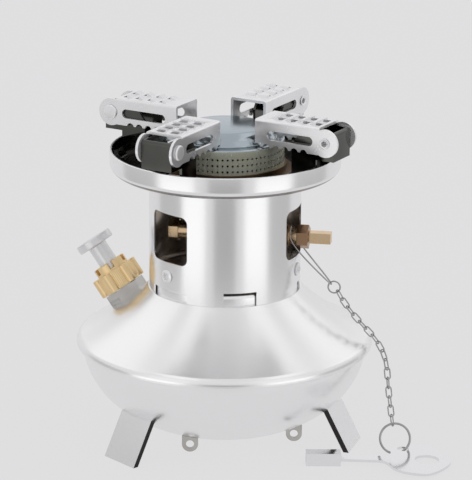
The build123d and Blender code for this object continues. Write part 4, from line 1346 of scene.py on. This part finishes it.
# ---------------------------------------------------------------- pot supports
@dataclass
class PotSupports:
    """Four folding supports, each with its bracket and a hollow rivet."""

    azimuths: tuple[tuple[str, float], ...] = (
        ("front_right", -30.0),
        ("back_right", 60.0),
        ("back_left", 150.0),
        ("front_left", 240.0),
    )
    pivot_r: float = 53.0
    pivot_z: float = 140.5
    side: float = 8.9
    pin_r: float = 1.5
    head_r: float = 3.25
    head_height: float = 0.8
    flare_r: float = 2.3
    flare_height: float = 0.5
    bore_r: float = 1.25
    bore_depth: float = 5.0
    head_rim: float = 0.25
    head_dome: float = 0.85
    head_round: tuple[float, float] = (0.6, 0.15)
    mouth_depth: float = 0.25
    mouth: tuple[float, float] = (0.35, -0.15)
    flare_edge: tuple[float, float] = (0.3, 0.12)
    flare_back: float = 0.2
    rivet_arc_points: int = 5
    rivet_turns: int = 48
    rivet_sharp_angle: float = 30.0
    arm_round: float = 0.22
    bracket_round: float = 0.2

    def rivet(self, azimuth: float) -> Surface:
        """Rivet across the support: a low round head on one side and a rolled flare on the other.

        Args:
            azimuth: where the support stands.

        Returns:
            The rivet, in place.
        """
        end = -self.side - self.flare_height
        rim = self.side + self.head_rim * self.head_height
        head_inset, head_bulge = self.head_round
        mouth_inset, mouth_bulge = self.mouth
        flare_rise, flare_bulge = self.flare_edge
        profile = outline(
            (0, end + self.bore_depth),
            (self.bore_r, end + self.bore_depth),
            (self.bore_r, end + self.mouth_depth),
            (self.flare_r - mouth_inset, end, mouth_bulge),
            (self.flare_r, end + flare_rise, flare_bulge),
            (self.flare_r - self.flare_back, -self.side),
            (self.pin_r, -self.side),
            (self.pin_r, self.side),
            (self.head_r, self.side),
            (self.head_r, rim),
            (self.head_r - head_inset, self.side + self.head_dome * self.head_height, head_bulge),
            (0, self.side + self.head_height),
            arc_points=self.rivet_arc_points,
        )
        out, around, up = radial_axes(azimuth)
        pivot = out * self.pivot_r + up * self.pivot_z
        return spun(profile, self.rivet_turns).placed(pivot, up, out, around)

    def build(self) -> list[bpy.types.Object]:
        """Makes and dresses the supports, brackets and rivets.

        Returns:
            The supports' pieces.
        """
        made = []
        for name, azimuth in self.azimuths:
            made.append(ARM_SHEET.dress(refined_node(f"pot_arm_{name}", self.arm_round)))
            # brackets get the near-black colour of the painted reflection
            made.append(BRACKET_PAINTED_REFLECTION.dress(refined_node(f"arm_bracket_{name}", self.bracket_round)))
            rivet = finished_piece(f"rivet_{name}", self.rivet(azimuth), self.rivet_sharp_angle)
            made.append(BRIGHT.dress(stands_for(rivet, f"arm_pin_{name}")))
        return made


# ---------------------------------------------------------------- chain, ring and key
@dataclass
class KeyAndChain:
    """Wire clip on the gland's neck, chain links, split ring and the valve key."""

    valve_azimuth: float = -10.0
    valve_z: float = 91.7
    neck_at: float = 29.15
    hold_r: float = 4.6
    clip_wire: float = 0.34
    sill: tuple[float, float] = (33.8, 85.2)
    clip_end: tuple[float, float, float] = (46.4, -8.4, 70.9)
    clip_end_half: float = 1.3
    clip_lean: float = 0.2
    link_points: int = 28
    link_start: float = 0.01
    ring_centre: tuple[float, float, float] = (74.5, -27.5, 6.75)
    ring_r: float = 6.5
    ring_lean: float = 17.0
    ring_wire: tuple[float, float] = (0.25, 0.5)
    ring_sides: int = 10
    ring_points: int = 160
    ring_start: float = 2.2
    wire_sharp_angle: float = 60.0
    key_round: float = 0.25

    def clip(self) -> Surface:
        """Loop over the neck, down over the sill and together at the chain.

        Returns:
            The clip's wire.
        """
        out, around, up = radial_axes(self.valve_azimuth)
        arc = np.radians(np.arange(0, 181, 45))[:, None]
        top = out * self.neck_at + up * self.valve_z + self.hold_r * (around * np.cos(arc) + up * np.sin(arc))
        sill = out * self.sill[0] + up * self.sill[1]
        end = np.array(self.clip_end)
        left = np.stack([sill - around * self.hold_r, end - around * self.clip_end_half])
        right = np.stack([end + around * self.clip_end_half, sill + around * self.hold_r])
        path = rounded_loop(np.concatenate([top, left, right]))
        return wire(path, (self.clip_wire, self.clip_wire), out + self.clip_lean * up)

    def link(self, points: Array) -> Surface:
        """One link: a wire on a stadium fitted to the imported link's own length and width.

        The directions are the axes of the points' spread. With length l and width w, the path
        is x = (l - w) / 2 * sign(cos a) + w / 2 * cos a, y = w / 2 * sin a.

        Args:
            points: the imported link's points.

        Returns:
            The smooth link.
        """
        centre = points.mean(0)
        _, axes = np.linalg.eigh(np.cov((points - centre).T))
        normal, across, along = axes.T
        spread = (points - centre) @ axes
        size = spread.max(0) - spread.min(0)
        wire_r = size[0] / 2
        width, length = size[1] - 2 * wire_r, size[2] - 2 * wire_r
        angle = np.linspace(0, 2 * np.pi, self.link_points, endpoint=False) + self.link_start
        run = (length - width) / 2 * np.sign(np.cos(angle)) + width / 2 * np.cos(angle)
        path = centre + run[:, None] * along + (width / 2 * np.sin(angle))[:, None] * across
        return wire(path, (wire_r, wire_r), normal)

    def chain(self) -> Surface:
        """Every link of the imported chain, found by spreading the lowest point number over each.

        Returns:
            The smooth chain.
        """
        packed = node_surface("key_chain")
        points, number = np.unique(np.round(packed.points, 4), axis=0, return_inverse=True)
        faces = number.reshape(-1)[packed.faces]
        label = np.arange(len(points))
        while True:
            spread = label.copy()
            np.minimum.at(spread, faces, label[faces].min(1, keepdims=True))
            if (spread == label).all():
                break
            label = spread
        return Surface.joined([self.link(points[label == name]) for name in np.unique(label)])

    def split_ring(self) -> Surface:
        """Two flat turns of wire side by side: the wire moves along the axis as it goes round.

        Returns:
            The ring's wire.
        """
        lean = math.radians(self.ring_lean)
        level = np.array([1.0, 0.0, 0.0])
        upright = np.array([0.0, math.sin(lean), math.cos(lean)])
        axis = np.cross(level, upright)
        turn = np.linspace(0, 4 * np.pi, self.ring_points)[:, None] + self.ring_start
        path = np.array(self.ring_centre) + self.ring_r * (level * np.cos(turn) + upright * np.sin(turn))
        half = self.ring_wire[0]
        path = path + axis * (np.linspace(-half, half, self.ring_points)[:, None])
        return wire(path, self.ring_wire, axis, closed=False, sides=self.ring_sides)

    def build(self) -> list[bpy.types.Object]:
        """Makes and dresses the clip, the chain, the ring and the key.

        Returns:
            The clip, the chain, the ring and the key.
        """
        made = []
        for name, surface, node in (
            ("wire_clip", self.clip(), "chain_clip"),
            ("chain_links", self.chain(), "key_chain"),
            ("split_ring", self.split_ring(), "key_ring"),
        ):
            piece = finished_piece(name, surface, self.wire_sharp_angle)
            made.append(CHAIN_WIRE.dress(stands_for(piece, node)))
        return made + [KEY_STEEL.dress(refined_node("valve_key", self.key_round))]


# ---------------------------------------------------------------- studio
@dataclass(frozen=True)
class Panel:
    """A flat panel that faces the stove.

    Its azimuth is counted from the camera's side, to the right, and its brightness is what the
    stove's metal mirrors: above the surroundings it is a lamp, below them a grey card that only
    mirrors show.
    """

    name: str
    azimuth: float
    elevation: float
    width: float
    height: float
    brightness: float
    lamp: bool = True
    distance: float = 1.6
    target: tuple[float, float, float] = (0.0, 0.0, 0.04)

    def place(self) -> Vector:
        """Point at the panel's distance in its direction.

        Returns:
            The point, in metres.
        """
        azimuth, rise = math.radians(self.azimuth - 90), math.radians(self.elevation)
        flat = math.cos(rise)
        way = Vector((flat * math.cos(azimuth), flat * math.sin(azimuth), math.sin(rise)))
        return Vector(self.target) + way * self.distance

    def build(self) -> None:
        """Adds the lamp or the card, turned towards the stove."""
        turn = (self.place() - Vector(self.target)).to_track_quat("Z", "Y")
        if self.lamp:
            light = bpy.data.lights.new(self.name, "AREA")
            light.shape = "RECTANGLE"
            light.size, light.size_y = self.width, self.height
            light.energy = self.brightness * math.pi * self.width * self.height
            lamp = bpy.data.objects.new(self.name, light)
            lamp.location = self.place()
            lamp.rotation_mode = "QUATERNION"
            lamp.rotation_quaternion = turn
            lamp.visible_camera = False
            bpy.context.scene.collection.objects.link(lamp)
            return
        axes = np.array(turn.to_matrix()).T
        across, up = axes[0] * self.width / 2, axes[1] * self.height / 2
        middle = np.array(self.place())
        low, high = middle - up, middle + up
        corners = np.array([low - across, low + across, high + across, high - across])
        mirrored_card(self.name, corners, self.brightness)


def mirrored_card(name: str, corners: Array, brightness: float) -> None:
    """Adds a flat card of an even brightness that only mirrors show.

    Args:
        name: the card's name.
        corners: its four corners, in metres.
        brightness: how bright it is in a mirror.
    """
    card = finished_piece(name, Surface(corners / MM, np.array([[0, 1, 2, 3]])))
    made = bpy.data.materials.new(name)
    made.use_nodes = True
    shader = made.node_tree.nodes["Principled BSDF"]
    shader.inputs["Base Color"].default_value = (0, 0, 0, 1)
    shader.inputs["Emission Color"].default_value = (1, 1, 1, 1)
    shader.inputs["Emission Strength"].default_value = brightness
    card.data.materials.append(made)
    card.visible_camera = card.visible_diffuse = card.visible_shadow = False


@dataclass(frozen=True)
class OverheadSheet:
    """Bright sheet above the stove that the tank's cone mirrors between two azimuths.

    A corner is where the line of sight, mirrored in the cone's normal n as 2 (n . v) n - v,
    meets the sheet's height. The azimuths are counted from the camera's side, to the right.
    """

    name: str
    from_azimuth: float
    to_azimuth: float
    brightness: float
    slopes: tuple[float, float] = (38.0, 70.0)
    height: float = 0.6
    sight: float = 16.84

    def build(self) -> None:
        """Adds the sheet."""
        order = ((self.from_azimuth, 0), (self.to_azimuth, 0), (self.to_azimuth, 1), (self.from_azimuth, 1))
        azimuth = np.radians([row[0] for row in order])
        slope = np.radians([self.slopes[row[1]] for row in order])
        flat = np.cos(slope)
        normal = np.stack([flat * np.sin(azimuth), -flat * np.cos(azimuth), np.sin(slope)], -1)
        down = math.radians(self.sight)
        sight = np.array([0, -math.cos(down), math.sin(down)])
        mirrored = 2 * (normal @ sight)[:, None] * normal - sight
        mirrored_card(self.name, mirrored / mirrored[:, 2:] * self.height, self.brightness)


@dataclass
class Studio:
    """Pale floor, soft lamps and the camera at the photograph's angle."""

    floor_colour: Colour = (0.765, 0.76, 0.77)
    floor_size: float = 8.0
    floor_roughness: float = 0.9
    floor_glow: float = 0.9
    world_light: float = 0.9
    camera_place: tuple[float, float, float] = (0.00482, -1.1, 0.421)
    pitch: float = 16.84
    roll: float = 0.39
    lens: float = 197.8
    nearest: float = 0.05
    panels: tuple[Panel | OverheadSheet, ...] = (
        Panel("front_left_box", -44.0, 26.0, 0.95, 1.3, 0.14),
        Panel("front_right_box", 44.0, 26.0, 0.95, 1.3, 0.14),
        Panel("back_box", 180.0, 18.0, 1.8, 0.7, 0.10, distance=2.2),
        OverheadSheet("left_sheet", -21.0, -8.0, 1.0),
        OverheadSheet("right_sheet", 14.0, 27.0, 1.0),
        OverheadSheet("outer_left_sheet", -62.0, -30.0, 0.94),
        OverheadSheet("outer_right_sheet", 38.0, 64.0, 0.94),
        Panel("front_card", 0.0, 0.0, 0.13, 0.08, 0.38, lamp=False, distance=0.24),
        Panel("left_reflector", -45.0, 0.0, 0.15, 0.08, 1.12, lamp=False, distance=0.24),
        Panel("right_reflector", 45.0, 0.0, 0.15, 0.08, 1.12, lamp=False, distance=0.24),
        Panel("left_card", -88.0, 0.0, 0.19, 0.08, 0.50, lamp=False, distance=0.24),
        Panel("right_card", 88.0, 0.0, 0.19, 0.08, 0.50, lamp=False, distance=0.24),
    )

    def floor(self) -> None:
        """Flat pale floor that shows its own colour to the camera and keeps a soft shadow."""
        half = self.floor_size / 2
        corners = np.array([(-half, -half, 0), (half, -half, 0), (half, half, 0), (-half, half, 0)]) / MM
        piece = finished_piece("studio_floor", Surface(corners, np.array([[0, 1, 2, 3]])))
        made = bpy.data.materials.new("pale_floor")
        made.use_nodes = True
        tree = EffectTree(made.node_tree)
        shader = made.node_tree.nodes["Principled BSDF"]
        shader.inputs["Base Color"].default_value = (*self.floor_colour, 1)
        shader.inputs["Roughness"].default_value = self.floor_roughness
        glow = tree.add("ShaderNodeEmission")
        glow.inputs["Color"].default_value = (*self.floor_colour, 1)
        path = tree.add("ShaderNodeLightPath")
        seen = tree.math("MAXIMUM", path.outputs["Is Camera Ray"], path.outputs["Is Glossy Ray"])
        mix = tree.add("ShaderNodeMixShader")
        tree.feed(tree.math("MULTIPLY", seen, self.floor_glow), mix.inputs[0])
        tree.feed(shader.outputs[0], mix.inputs[1])
        tree.feed(glow.outputs[0], mix.inputs[2])
        tree.feed(mix.outputs[0], made.node_tree.nodes["Material Output"].inputs["Surface"])
        piece.data.materials.append(made)

    def world(self) -> None:
        """Even pale surroundings, at full strength only where they are seen or mirrored."""
        world = bpy.data.worlds.new("studio")
        bpy.context.scene.world = world
        world.use_nodes = True
        tree = EffectTree(world.node_tree)
        shade = world.node_tree.nodes["Background"]
        shade.inputs["Color"].default_value = (*self.floor_colour, 1)
        path = tree.add("ShaderNodeLightPath")
        seen = tree.math("MAXIMUM", path.outputs["Is Camera Ray"], path.outputs["Is Glossy Ray"])
        strength = tree.add("ShaderNodeMapRange")
        strength.inputs["To Min"].default_value = self.world_light
        tree.feed(seen, strength.inputs["Value"])
        tree.feed(strength.outputs["Result"], shade.inputs["Strength"])

    def camera(self) -> None:
        """Long lens a little above the stove, as in the photograph."""
        data = bpy.data.cameras.new("camera")
        data.lens = self.lens
        data.clip_start = self.nearest
        camera = bpy.data.objects.new("camera", data)
        camera.location = self.camera_place
        look = Euler((math.radians(90 - self.pitch), 0, 0)).to_matrix()
        camera.rotation_mode = "QUATERNION"
        camera.rotation_quaternion = (look @ Matrix.Rotation(math.radians(self.roll), 3, "Z")).to_quaternion()
        bpy.context.scene.collection.objects.link(camera)
        bpy.context.scene.camera = camera

    def build(self) -> None:
        """Makes the whole studio."""
        bpy.context.scene.view_settings.view_transform = "Standard"
        self.floor()
        self.world()
        self.camera()
        for panel in self.panels:
            panel.build()


# ---------------------------------------------------------------- all together
def dress_packed_nodes() -> None:
    """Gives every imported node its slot's finish, hidden ones included."""
    for name, node in frame["nodes"].items():
        FINISH_OF_SLOT[SLOT_OF[name]].dress(node)


def main() -> None:
    """Builds the studio and every sub-assembly."""
    logging.basicConfig(level=logging.INFO, format="%(name)s: %(message)s")
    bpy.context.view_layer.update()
    Studio().build()
    dress_packed_nodes()
    for assembly in (Tank(), Body(), Burner(), Valve(), Filler(), PotSupports(), KeyAndChain()):
        for piece in assembly.build():
            log.info("%s: %s with %d faces", type(assembly).__name__, piece.name, len(piece.data.polygons))


if __name__ == "__main__":
    main()
